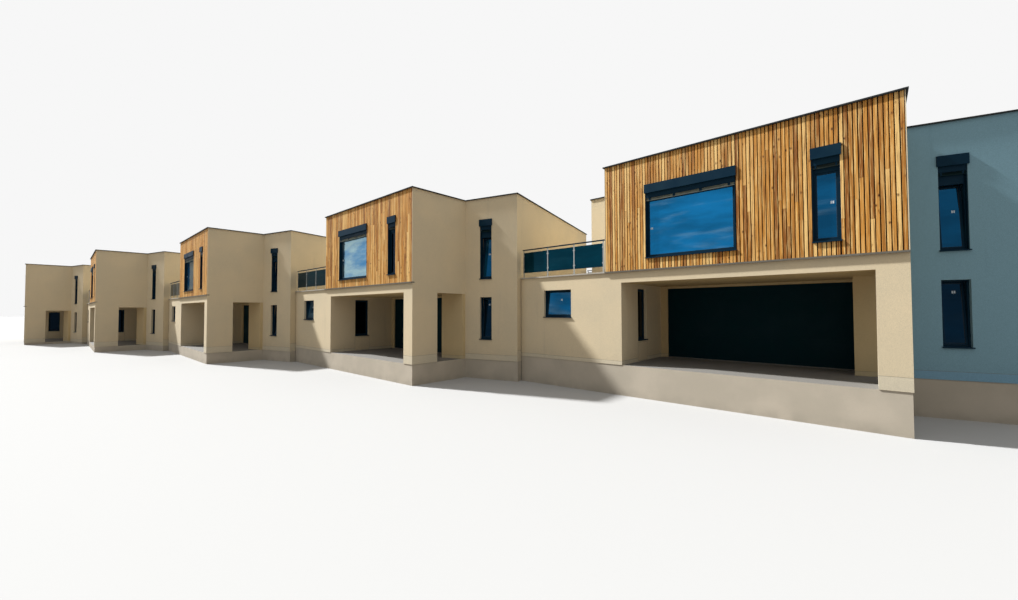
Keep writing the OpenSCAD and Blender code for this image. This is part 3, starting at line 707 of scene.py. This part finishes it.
def coated_glass(name, tint, deep, painted_cloud_colour, mirror, clear, toned=False):
    """Glass with a faint mirror coat: mirror is how much it reflects, clear how much it lets
    through. Its colour is a painted sky reflection between deep and tint, with painted cloud
    reflections; toned glass follows each sheet's own painted level, from painted shade at 0 to
    painted pale clouds above 1."""
    finish, tree, surface = new_finish(name, 0.03, mirror)
    surface.inputs["Transmission Weight"].default_value = clear
    surface.inputs["IOR"].default_value = 1.2
    surface.inputs["Specular IOR Level"].default_value = 0.1
    place = add(tree, "TexCoord", {}, out=3)
    clouds = noise(tree, stretched(tree, place, (0.9, 0.9, 3.2)), 1.0, 4.0, 0.6)
    # Painted sky reflection: the colour is veiled between deep and tint.
    painted_sky_veil = ramp(tree, clouds, 0.35, 0.68)
    if toned:
        level = add(tree, "Attribute", {}, out=2, attribute_name="painted_reflection_tone")
        painted_sky_veil = sums(tree, "ADD", sums(tree, "MULTIPLY", painted_sky_veil, 0.4), 0.6)
        painted_sky_veil = sums(tree, "MULTIPLY", level, painted_sky_veil)
    tone = tone_mix(tree, painted_sky_veil, deep, tint)
    # Painted cloud reflections: pale wisps mixed over the glass colour.
    painted_cloud_wisps = noise(tree, stretched(tree, place, (1.1, 1.1, 7.0)), 1.0, 5.0, 0.55)
    bright = sums(tree, "MULTIPLY", ramp(tree, painted_cloud_wisps, 0.50, 0.72, 0.0, 0.22), painted_sky_veil)
    if toned:
        # Painted bright reflection where the level is above 1.
        over = add(tree, "Math", {0: sums(tree, "SUBTRACT", painted_sky_veil, 0.9)}, operation="ABSOLUTE")
        over = sums(tree, "MULTIPLY", over, sums(tree, "GREATER_THAN", level, 1.05))
        bright = sums(tree, "MAXIMUM", bright, over)
    tree.links.new(tone_mix(tree, bright, tone, painted_cloud_colour), surface.inputs["Base Color"])
    bump(tree, surface, noise(tree, place, 2.5, 1.0), 0.10, 0.004)
    return finish


metal = brushed_aluminium()
give_finish(metal, "rail_posts")
give_finish(window_metal, "handrails")
# The rail glass carries painted sky and cloud reflections.
give_finish(coated_glass("dark rail glass", RAIL_TINT, RAIL_TINT_DEEP, RAIL_PAINTED_CLOUDS,
                         RAIL_MIRROR, RAIL_CLEAR),
            "rail_glass")

# The front rails and the rear ones: frame, both ends, depth, panels and height of the feet
RAILS = ([(front, RAIL_LEFT, -FRONT_W - RAIL_END, RENDER_Y + RAIL_IN, 3, FLOOR_H + STONE_T)
          for front in turned]
         + [(line, PARTY_X + RAIL_END, WING_X - RAIL_END, REAR_Y - RAIL_IN, 2, FLOOR_H)
            for line in in_line])
clamps = bmesh.new()
bolts = bmesh.new()
for place, left, right, y, panels, foot in RAILS:
    for k in range(panels + 1):
        post = left + FOOT_W / 2 + k * (right - left - FOOT_W) / panels
        for dx in (-BOLT_IN, BOLT_IN):
            for dy in (-BOLT_IN, BOLT_IN):
                cut_rod(bolts, place, Vector((post + dx, y + dy, foot + FOOT_T)),
                        Vector((post + dx, y + dy, foot + FOOT_T + BOLT_H)), BOLT_R, 6)
        sides = [side for side in (-1, 1) if 0 <= k + (side - 1) // 2 < panels]
        for side in sides:
            near, far = sorted((post + side * POST_W / 2, post + side * (POST_W / 2 + CLAMP_W)))
            for z in CLAMP_Z:
                for face, back in ((y - CLAMP_OUT, y - RAIL_GLASS_T / 2),
                                   (y + RAIL_GLASS_T / 2, y + CLAMP_OUT)):
                    cut_block(clamps, place, (near, far), (face, back),
                              (z - CLAMP_H / 2, z + CLAMP_H / 2))
fit_piece("glass_clamps", clamps, metal, CLAMP_ARRIS)
fit_piece("foot_plate_bolts", bolts, metal)


# Windows. Aluminium frames with inner sashes, some left ajar, hold sealed units of two
# sheets of sun-control glass on a bright spacer, pressed in with black gaskets. A blank
# pair of small papers still sticks to most of them.
REVEAL = 0.045
FRAME_D = 0.046
FRAME_FACE = 0.018
SASH_D = 0.030
SASH_FACE = 0.020
SASH_GAP = 0.0005
SASH_EDGE = FRAME_FACE + SASH_GAP
AJAR = 5
SILL_T = 0.014
BOX_H = 0.125
BOX_BAND_H = 0.070
WINDOW_TOP = UPPER_HEAD - BOX_H - BOX_BAND_H
LOWER_HEAD = 1.173
SLIM_PANEL = 0.066
SMALL_W = 0.558
SMALL_X = -4.564
SMALL_SILL = LOWER_HEAD - 0.472
PORCH_LEFT = -3.108
PORCH_WINDOW_W = 0.334
PORCH_WINDOW_Y = RENDER_Y + 0.576
PORCH_SILL = LOWER_HEAD - 0.842
BAY_X = BAY_LEFT + 0.330
BAY_WINDOW_W = 0.252
BAY_SILL = FLOOR_H + 0.110
BAY_PANEL = 0.128
BAY_LOWER_SILL = LOWER_HEAD - 0.800
REAR_UPPER = (0.700, 2.300, 3.900)
REAR_SMALL = 3.050
SHEETS_Y = ((0.008, 0.012), (0.018, 0.022))
SPACER_FACE = 0.006
GASKET_FACE = 0.003
GASKETS_Y = ((0.0065, 0.008), (0.022, 0.0235))
PAPER_W = 0.014
PAPER_H = 0.030
PAPER_GAP = 0.004
PAPER_T = 0.0004
BIG_MARK = (0.069, 2.009)
SLIM_MARK = (0.173, 2.021)
SMALL_MARK = (0.318, 1.005)
BAY_UPPER_MARK = (0.158, 1.990)
BAY_LOWER_MARK = (0.146, 1.032)
# Painted reflection level of each window's glass: 0 paints it dark as in shade, 1 paints the blue
# sky reflection, above 1 paints it paler with cloud reflections.
BIG_PAINTED_REFLECTIONS = (1.0, 1.65, 1.4, 1.0, 1.0)
SLIM_PAINTED_REFLECTIONS = (0.55, 0.04, 0.04, 0.04, 0.04)
SMALL_PAINTED_REFLECTION = 0.55
PORCH_PAINTED_REFLECTION = 0.0
BAY_UPPER_PAINTED_REFLECTION = 0.30
BAY_LOWER_PAINTED_REFLECTION = 0.05
REAR_UPPER_PAINTED_REFLECTION = 0.6
REAR_LOWER_PAINTED_REFLECTION = 0.5
GLASS_MIRROR = 0.60
GLASS_CLEAR = 0.6
# Painted sky reflection, painted shade and painted cloud reflections for the window glass.
GLASS_PAINTED_SKY = (0.010, 0.235, 0.550, 1)
GLASS_PAINTED_SHADE = (0.0003, 0.005, 0.012, 1)
GLASS_PAINTED_CLOUDS = (0.560, 0.760, 0.720, 1)
GASKET_BLACK = (0.008, 0.009, 0.010, 1)
GASKET_DUST = (0.022, 0.024, 0.025, 1)
PAPER_WHITE = (0.70, 0.78, 0.84, 1)
PAPER_CREASE = (0.50, 0.58, 0.64, 1)


def wall_place(house, x, y=0.0, z=0.0, turn=0):
    """A wall's own frame at an opening's left edge: x along it, y into it and z up."""
    return (house @ Matrix.Translation((x, y, z))
            @ Matrix.Rotation(math.radians(turn), 4, "Z"))


def porch_side(front):
    return wall_place(front, PORCH_LEFT, PORCH_WINDOW_Y, turn=90)


def rear_wall(line, from_right):
    return wall_place(line, BAY_RIGHT - from_right, REAR_Y, turn=180)


def toned_cut(work, layer, tone, place, x, y, z):
    for face in cut_block(work, place, x, y, z):
        face[layer] = tone


def rubber_gasket():
    finish, tree, surface = new_finish("black gaskets", 0.7)
    place = add(tree, "TexCoord", {}, out=3)
    skin = noise(tree, place, 120.0, 3.0)
    tree.links.new(tone_mix(tree, skin, GASKET_BLACK, GASKET_DUST),
                   surface.inputs["Base Color"])
    bump(tree, surface, skin, 0.2, 0.0005)
    return finish


def blank_paper():
    finish, tree, surface = new_finish("blank paper", 0.8)
    place = add(tree, "TexCoord", {}, out=3)
    creases = noise(tree, place, 70.0, 4.0)
    tree.links.new(tone_mix(tree, ramp(tree, creases, 0.4, 0.7), PAPER_WHITE, PAPER_CREASE),
                   surface.inputs["Base Color"])
    bump(tree, surface, creases, 0.3, 0.0005)
    return finish


sheets = bmesh.new()
painted_reflection_tone = sheets.faces.layers.float.new("painted_reflection_tone")
spacers = bmesh.new()
gaskets = bmesh.new()
papers = bmesh.new()


def glaze(place, w, h, face, tone, mark=None):
    """Fits a sealed unit in a sash that is w wide and h high, with its paper mark."""
    x, z = (face, w - face), (face, h - face)
    for y in SHEETS_Y:
        toned_cut(sheets, painted_reflection_tone, tone, place, x, y, z)
    cut_ring(spacers, place, x, (SHEETS_Y[0][1], SHEETS_Y[1][0]), z, SPACER_FACE)
    for y in GASKETS_Y:
        cut_ring(gaskets, place, x, y, z, GASKET_FACE)
    if mark:
        for side in (-1, 0):
            left = mark[0] + side * (PAPER_W + PAPER_GAP) + PAPER_GAP / 2
            cut_block(papers, place, (left, left + PAPER_W),
                      (SHEETS_Y[0][0] - PAPER_T, SHEETS_Y[0][0]),
                      (mark[1] - PAPER_H / 2, mark[1] + PAPER_H / 2))


def fit_sash(place, w, opening, tone, panel=0.0, lean=0, mark=None):
    """Glazes the sash of an opening that is w wide. A panel may close the top of the frame,
    and a sash that stands ajar leans inwards by some degrees."""
    sill, head = opening
    foot = sill + SILL_T + SASH_EDGE
    hinge = Matrix.Translation((SASH_EDGE, REVEAL + (FRAME_D + SASH_D) / 2, foot))
    sash = (place @ hinge @ Matrix.Rotation(-math.radians(lean), 4, "X")
            @ Matrix.Translation((0, -SASH_D, 0)))
    if mark:
        mark = (mark[0] - SASH_EDGE, mark[1] - foot)
    glaze(sash, w - 2 * SASH_EDGE, head - panel - foot - SASH_EDGE, SASH_FACE, tone, mark)


for line, front, big_painted_reflection, slim_painted_reflection in zip(in_line, turned, BIG_PAINTED_REFLECTIONS, SLIM_PAINTED_REFLECTIONS):
    fit_sash(wall_place(front, BIG_X[0]), BIG_W, (UPPER_SILL, WINDOW_TOP), big_painted_reflection,
             mark=BIG_MARK)
    fit_sash(wall_place(front, SLIM_X[0]), SLIM_W, (UPPER_SILL, WINDOW_TOP), slim_painted_reflection,
             panel=SLIM_PANEL, mark=SLIM_MARK)
    fit_sash(wall_place(front, SMALL_X, RENDER_Y), SMALL_W, (SMALL_SILL, LOWER_HEAD),
             SMALL_PAINTED_REFLECTION, lean=AJAR, mark=SMALL_MARK)
    fit_sash(porch_side(front), PORCH_WINDOW_W, (PORCH_SILL, LOWER_HEAD), PORCH_PAINTED_REFLECTION)
    fit_sash(wall_place(line, BAY_X, BAY_Y), BAY_WINDOW_W, (BAY_SILL, WINDOW_TOP),
             BAY_UPPER_PAINTED_REFLECTION, panel=BAY_PANEL, lean=AJAR, mark=BAY_UPPER_MARK)
    fit_sash(wall_place(line, BAY_X, BAY_Y), BAY_WINDOW_W, (BAY_LOWER_SILL, LOWER_HEAD),
             BAY_LOWER_PAINTED_REFLECTION, lean=AJAR, mark=BAY_LOWER_MARK)
    for from_right in REAR_UPPER:
        fit_sash(rear_wall(line, from_right), SMALL_W, (UPPER_SILL, WINDOW_TOP),
                 REAR_UPPER_PAINTED_REFLECTION)
    fit_sash(rear_wall(line, REAR_SMALL), SMALL_W, (SMALL_SILL, LOWER_HEAD), REAR_LOWER_PAINTED_REFLECTION)


# Blinds. Each box holds a raised stack of pale crowned slats over a bottom rail. Dark
# carriers part the stack, and guide rails run down both sides of the opening.
STACK_H = 0.037
SLATS = 6
SLAT_STEP = 0.0050
SLAT_Y = (0.014, 0.042)
SLAT_CROWN = 0.0016
SLAT_T = 0.0012
GUIDE_W = 0.008
GUIDE_Y = (0.013, 0.045)
STACK_FRONT = 0.012
BLIND_GAP = 0.001
BLIND_RAIL_H = 0.006
BLIND_RAIL_IN = 0.002
CARRIER_FOOT = 0.002
CARRIER_IN = (0.024, 0.040)
BIG_CARRIERS = ((0.043, 0.078), (0.387, 0.421), (0.736, 0.773), (1.080, 1.109))
# Painted light on the slats: sunlit stacks stay pale, while shaded and dark stacks are painted
# darker as in shade.
SUNLIT_STACK = 1.0
SHADED_STACK = 0.12
PAINTED_SHADE_STACK = 0.0
SLAT_GREY = (0.330, 0.360, 0.300, 1)
SLAT_PALE = (0.440, 0.470, 0.390, 1)
SLAT_PAINTED_SHADE = (0.010, 0.030, 0.034, 1)


def painted_slats():
    finish, tree, surface = new_finish("painted slats", 0.5)
    surface.inputs["Specular IOR Level"].default_value = METAL_GLOSS
    place = add(tree, "TexCoord", {}, out=3)
    dust = noise(tree, place, 12.0, 4.0)
    shade = add(tree, "Attribute", {}, out=2, attribute_name="slat_painted_light")
    tone = tone_mix(tree, ramp(tree, dust, 0.35, 0.7), SLAT_GREY, SLAT_PALE)
    # Painted shade: low levels turn the slats towards a dark teal.
    tree.links.new(tone_mix(tree, shade, SLAT_PAINTED_SHADE, tone), surface.inputs["Base Color"])
    bump(tree, surface, dust, 0.1, 0.0005)
    return finish


def crowned_slat(work, place, x, z):
    """One slat along x, whose middle is crowned."""
    middle = (SLAT_Y[0] + SLAT_Y[1]) / 2
    line = [(SLAT_Y[0], z), (middle, z + SLAT_CROWN), (SLAT_Y[1], z)]
    line += [(y, height + SLAT_T) for y, height in reversed(line)]
    ends = [[work.verts.new(place @ Vector((end, y, height))) for y, height in line]
            for end in x]
    count = len(line)
    faces = []
    for n in range(count):
        m = (n + 1) % count
        faces.append(work.faces.new((ends[0][n], ends[1][n], ends[1][m], ends[0][m])))
    for end in ends:
        faces.append(work.faces.new((end[0], end[1], end[4], end[5])))
        faces.append(work.faces.new((end[1], end[2], end[3], end[4])))
    return faces


slats = bmesh.new()
slat_painted_light = slats.faces.layers.float.new("slat_painted_light")
blind_fittings = bmesh.new()


def hang_blind(place, w, sill, tone, carriers=None):
    """Hangs a raised blind in an opening that is w wide."""
    foot = WINDOW_TOP - STACK_H
    if carriers is None:
        carriers = (CARRIER_IN, (w - CARRIER_IN[1], w - CARRIER_IN[0]))
    inner = (GUIDE_W + BLIND_GAP, w - GUIDE_W - BLIND_GAP)
    lowest_slat = foot + BLIND_RAIL_H + BLIND_GAP
    for n in range(SLATS):
        for face in crowned_slat(slats, place, inner, lowest_slat + n * SLAT_STEP):
            face[slat_painted_light] = tone
    toned_cut(slats, slat_painted_light, tone, place, inner,
              (SLAT_Y[0] + BLIND_RAIL_IN, SLAT_Y[1] - BLIND_RAIL_IN),
              (foot, foot + BLIND_RAIL_H))
    for x in carriers:
        cut_block(blind_fittings, place, x, (STACK_FRONT, SLAT_Y[1] + BLIND_GAP),
                  (foot + CARRIER_FOOT, WINDOW_TOP - BLIND_GAP))
    for x in ((0, GUIDE_W), (w - GUIDE_W, w)):
        cut_block(blind_fittings, place, x, GUIDE_Y, (sill + SILL_T, WINDOW_TOP))


for line, front in zip(in_line, turned):
    hang_blind(wall_place(front, BIG_X[0]), BIG_W, UPPER_SILL, SUNLIT_STACK, BIG_CARRIERS)
    # The slim and bay blinds are painted as in shade.
    hang_blind(wall_place(front, SLIM_X[0]), SLIM_W, UPPER_SILL, SHADED_STACK)
    hang_blind(wall_place(line, BAY_X, BAY_Y), BAY_WINDOW_W, BAY_SILL, PAINTED_SHADE_STACK)
    for from_right in REAR_UPPER:
        hang_blind(rear_wall(line, from_right), SMALL_W, UPPER_SILL, SUNLIT_STACK)
fit_piece("blind_slats", slats, painted_slats(), replaced=("raised_blinds",))
fit_piece("blind_guides", blind_fittings, window_metal)


# Doors. The garage doors are flat steel sections with a dark smooth coat, over a rubber
# seal. The entrance doors are panelled leaves with a long pull bar, and the terrace and
# garden doors are glazed aluminium leaves with lever handles.
DOOR_FACE = 0.038
DOOR_H = 1.050
DOOR_ARRIS = 0.001
DOOR_DEEP = (0.0004, 0.0140, 0.0190, 1)
DOOR_PALE = (0.0010, 0.0210, 0.0270, 1)
PORCH_BACK = RENDER_Y + 1.534
GARAGE_X = (PORCH_LEFT + 0.121, -0.470)
GARAGE_FACE = PORCH_BACK + REVEAL / 2
GARAGE_SEAL_T = 0.006
GARAGE_SEAL_H = 0.014
ENTRY_Y = PORCH_BACK - 0.025
ENTRY_W = 0.3953
ENTRY_FRAME = 0.022
ENTRY_PANELS = 5
ENTRY_GROOVE_H = 0.003
ENTRY_GAP = 0.001
PANEL_Y = (REVEAL + 0.010, REVEAL + 0.040)
CORE_Y = (REVEAL + 0.014, REVEAL + 0.038)
PULL_X = 0.330
PULL_Z = (0.28, 0.80)
PULL_R = 0.0065
PULL_OUT = 0.026
PULL_POST_IN = 0.05
PULL_POST_R = 0.00455
LEVER_Z = 0.52
LEVER_R = 0.0045
LEVER_L = 0.055
LEVER_OUT = 0.022
LEVER_NECK = 0.024
LEVER_PLATE_W = 0.012
LEVER_PLATE_T = 0.003
LEVER_PLATE_Z = (LEVER_Z - 0.045, LEVER_Z + 0.030)
TERRACE_DOOR_W = 0.440
TERRACE_DOOR_X = -FRONT_W - 0.110 - TERRACE_DOOR_W
TERRACE_DOOR_PAINTED_REFLECTION = 0.45
GARDEN_DOOR_W = 1.100
GARDEN_DOORS = (1.500, 4.300)
GARDEN_DOOR_PAINTED_REFLECTION = 0.5

door_paint = powder_coat("night door coat", DOOR_DEEP, DOOR_PALE, 0.55, 0.05)
give_finish(door_paint, "garage_doors")
give_finish(window_metal, "terrace_doors", "garden_doors")

garage_seals = bmesh.new()
leaves = bmesh.new()
handles = bmesh.new()


def fit_lever(place, x):
    """A lever handle that stands on its plate and points to the right."""
    cut_block(handles, place, (x - LEVER_PLATE_W / 2, x + LEVER_PLATE_W / 2),
              (-LEVER_PLATE_T, 0), LEVER_PLATE_Z)
    cut_rod(handles, place, Vector((x, -LEVER_PLATE_T, LEVER_Z)),
            Vector((x, -LEVER_NECK, LEVER_Z)), LEVER_R)
    cut_rod(handles, place, Vector((x, -LEVER_OUT, LEVER_Z)),
            Vector((x + LEVER_L, -LEVER_OUT, LEVER_Z)), LEVER_R)


def glazed_leaves(place, w, count, tone):
    leaf_w = (w - 2 * FRAME_FACE - (count + 1) * SASH_GAP) / count
    leaf_h = DOOR_H - 2 * SASH_EDGE
    for k in range(count):
        x = SASH_EDGE + k * (leaf_w + SASH_GAP)
        leaf = place @ Matrix.Translation((x, REVEAL + (FRAME_D - SASH_D) / 2, SASH_EDGE))
        glaze(leaf, leaf_w, leaf_h, DOOR_FACE, tone)
        if k == count - 1:
            fit_lever(leaf, DOOR_FACE / 2)


for line, front in zip(in_line, turned):
    cut_block(garage_seals, front, GARAGE_X, (GARAGE_FACE - GARAGE_SEAL_T, GARAGE_FACE),
              (0, GARAGE_SEAL_H))
    entry = wall_place(front, GARAGE_X[1], ENTRY_Y, turn=-90)
    cut_ring(leaves, entry, (0, ENTRY_W), (REVEAL, REVEAL + FRAME_D), (0, DOOR_H), ENTRY_FRAME)
    leaf_edge = ENTRY_FRAME + ENTRY_GAP
    leaf_x = (leaf_edge, ENTRY_W - leaf_edge)
    panel_step = (DOOR_H - 2 * leaf_edge) / ENTRY_PANELS
    for n in range(ENTRY_PANELS):
        foot = leaf_edge + n * panel_step
        cut_block(leaves, entry, leaf_x, PANEL_Y, (foot, foot + panel_step - ENTRY_GROOVE_H))
    cut_block(leaves, entry, leaf_x, CORE_Y, (leaf_edge, DOOR_H - ENTRY_FRAME))
    pull_y = PANEL_Y[0] - PULL_OUT
    cut_rod(handles, entry, Vector((PULL_X, pull_y, PULL_Z[0])),
            Vector((PULL_X, pull_y, PULL_Z[1])), PULL_R, 12)
    for z in (PULL_Z[0] + PULL_POST_IN, PULL_Z[1] - PULL_POST_IN):
        cut_rod(handles, entry, Vector((PULL_X, pull_y, z)),
                Vector((PULL_X, PANEL_Y[0], z)), PULL_POST_R)
    glazed_leaves(wall_place(front, TERRACE_DOOR_X, SET_BACK, FLOOR_H), TERRACE_DOOR_W, 1,
                  TERRACE_DOOR_PAINTED_REFLECTION)
    for from_right in GARDEN_DOORS:
        glazed_leaves(rear_wall(line, from_right), GARDEN_DOOR_W, 2, GARDEN_DOOR_PAINTED_REFLECTION)
fit_piece("garage_door_seals", garage_seals, seal)
fit_piece("entrance_door_leaves", leaves, door_paint, DOOR_ARRIS,
          ("entrance_doors",))
fit_piece("door_handles", handles, metal)
# The glass sheets carry painted sky and cloud reflections and painted shade, by each sheet's level.
fit_piece("glass_sheets", sheets,
          coated_glass("sun-control glass", GLASS_PAINTED_SKY, GLASS_PAINTED_SHADE, GLASS_PAINTED_CLOUDS,
                       GLASS_MIRROR, GLASS_CLEAR, toned=True),
          replaced=("window_panes", "door_panes"))
fit_piece("glass_spacers", spacers, metal)
fit_piece("glass_gaskets", gaskets, rubber_gasket())
fit_piece("paper_marks", papers, blank_paper())


# Hatches. A flush painted hatch for the meters sits below each porch's side window, in a
# thin dark frame, with a small round lock.
HATCH_X = (-0.004, 0.352)
HATCH_Z = (0.014, 0.306)
HATCH_OUT = 0.0012
HATCH_GAP = 0.0025
LOCK_X = 0.0136
LOCK_Z = 0.264
LOCK_R = 0.005
LOCK_OUT = 0.001
HATCH_ARRIS = 0.0004

hatches = bmesh.new()
hatch_gaps = bmesh.new()
for front in turned:
    side = porch_side(front)
    cut_ring(hatch_gaps, side, (HATCH_X[0] - HATCH_GAP, HATCH_X[1] + HATCH_GAP),
             (-HATCH_OUT / 2, 0), (HATCH_Z[0] - HATCH_GAP, HATCH_Z[1] + HATCH_GAP), HATCH_GAP)
    cut_block(hatches, side, HATCH_X, (-HATCH_OUT, 0), HATCH_Z)
    cut_rod(hatch_gaps, side, Vector((LOCK_X, -HATCH_OUT - LOCK_OUT, LOCK_Z)),
            Vector((LOCK_X, 0, LOCK_Z)), LOCK_R, 12)
fit_piece("meter_hatches", hatches, scraped_render("painted hatch", 0.0),
          HATCH_ARRIS)
fit_piece("hatch_gaps", hatch_gaps, rubber_gasket())


# Stage. A pale floor runs out to a white ground, under one soft lamp that stands far to the
# left, and a fill from all round that is stronger from above.
STAGE_HALF = 150.0
FLOOR_PALE = (0.385, 0.385, 0.380, 1)
FLOOR_BOUNCE = (0.163, 0.146, 0.130, 1)
LAMP_STRENGTH = 7.5
LAMP_SOFTNESS = math.radians(3.0)
LAMP_HEIGHT = math.radians(47)
LAMP_FROM_LEFT = math.radians(86)
FILL_STRENGTH = 0.20
FILL_FROM_ABOVE = 0.75
GROUND_WHITE = 0.93


def seen_rays(tree):
    """One for the rays that the camera sees, by itself or in glass and metal."""
    rays = tree.nodes.new("ShaderNodeLightPath")
    mirrored = sums(tree, "MAXIMUM", rays.outputs["Is Glossy Ray"],
                    rays.outputs["Is Transmission Ray"])
    return sums(tree, "MAXIMUM", rays.outputs["Is Camera Ray"], mirrored)


floor_work = bmesh.new()
bmesh.ops.create_grid(floor_work, x_segments=1, y_segments=1, size=STAGE_HALF)
floor_mesh = bpy.data.meshes.new("stage_floor")
floor_work.to_mesh(floor_mesh)
floor_work.free()
floor_finish, floor_tree, floor_surface = new_finish("pale stage floor", 0.9)
floor_surface.inputs["Specular IOR Level"].default_value = 0.1
floor_tree.links.new(tone_mix(floor_tree, seen_rays(floor_tree), FLOOR_BOUNCE, FLOOR_PALE),
                     floor_surface.inputs["Base Color"])
floor_mesh.materials.append(floor_finish)
stage_floor = bpy.data.objects.new("stage_floor", floor_mesh)
bpy.context.scene.collection.objects.link(stage_floor)

lamp_data = bpy.data.lights.new("soft lamp", "SUN")
lamp_data.energy = LAMP_STRENGTH
lamp_data.angle = LAMP_SOFTNESS
lamp = bpy.data.objects.new("soft lamp", lamp_data)
bpy.context.scene.collection.objects.link(lamp)
towards_lamp = Vector((-math.sin(LAMP_FROM_LEFT) * math.cos(LAMP_HEIGHT),
                       -math.cos(LAMP_FROM_LEFT) * math.cos(LAMP_HEIGHT),
                       math.sin(LAMP_HEIGHT)))
lamp.rotation_euler = towards_lamp.to_track_quat("Z", "Y").to_euler()

ground = bpy.data.worlds.new("white ground")
ground.use_nodes = True
sky = ground.node_tree
sky.nodes.clear()
upwards = add(sky, "SeparateXYZ", {"Vector": add(sky, "TexCoord", {})}, out=2)
dome = sums(sky, "MULTIPLY", sums(sky, "MAXIMUM", upwards, 0.0), FILL_FROM_ABOVE)
fill = add(sky, "Background", {"Color": (1, 1, 1, 1),
                               "Strength": sums(sky, "ADD", dome, FILL_STRENGTH)})
white = add(sky, "Background", {"Color": (1, 1, 1, 1), "Strength": GROUND_WHITE})
world_output = sky.nodes.new("ShaderNodeOutputWorld")
sky.links.new(add(sky, "MixShader", {0: seen_rays(sky), 1: fill, 2: white}),
              world_output.inputs["Surface"])
bpy.context.scene.world = ground
bpy.context.scene.view_settings.view_transform = "Standard"


# Camera. It stands in front of the row near its higher end, at eye level, with a wide lens,
# and looks along the fronts to the lower end.
CAMERA_PLACE = Vector((-1.75128, -5.38877, 0.82093))
CAMERA_TURN = (91.5306, 0.1212, 26.9584)
CAMERA_LENS = 14.2679
CAMERA_SENSOR = 36.0
CAMERA_RANGE = 400.0

camera_data = bpy.data.cameras.new("front camera")
camera_data.sensor_width = CAMERA_SENSOR
camera_data.lens = CAMERA_LENS
camera_data.clip_end = CAMERA_RANGE
camera = bpy.data.objects.new("front camera", camera_data)
camera.location = first_corner + CAMERA_PLACE
camera.rotation_euler = [math.radians(angle) for angle in CAMERA_TURN]
bpy.context.scene.collection.objects.link(camera)
bpy.context.scene.camera = camera
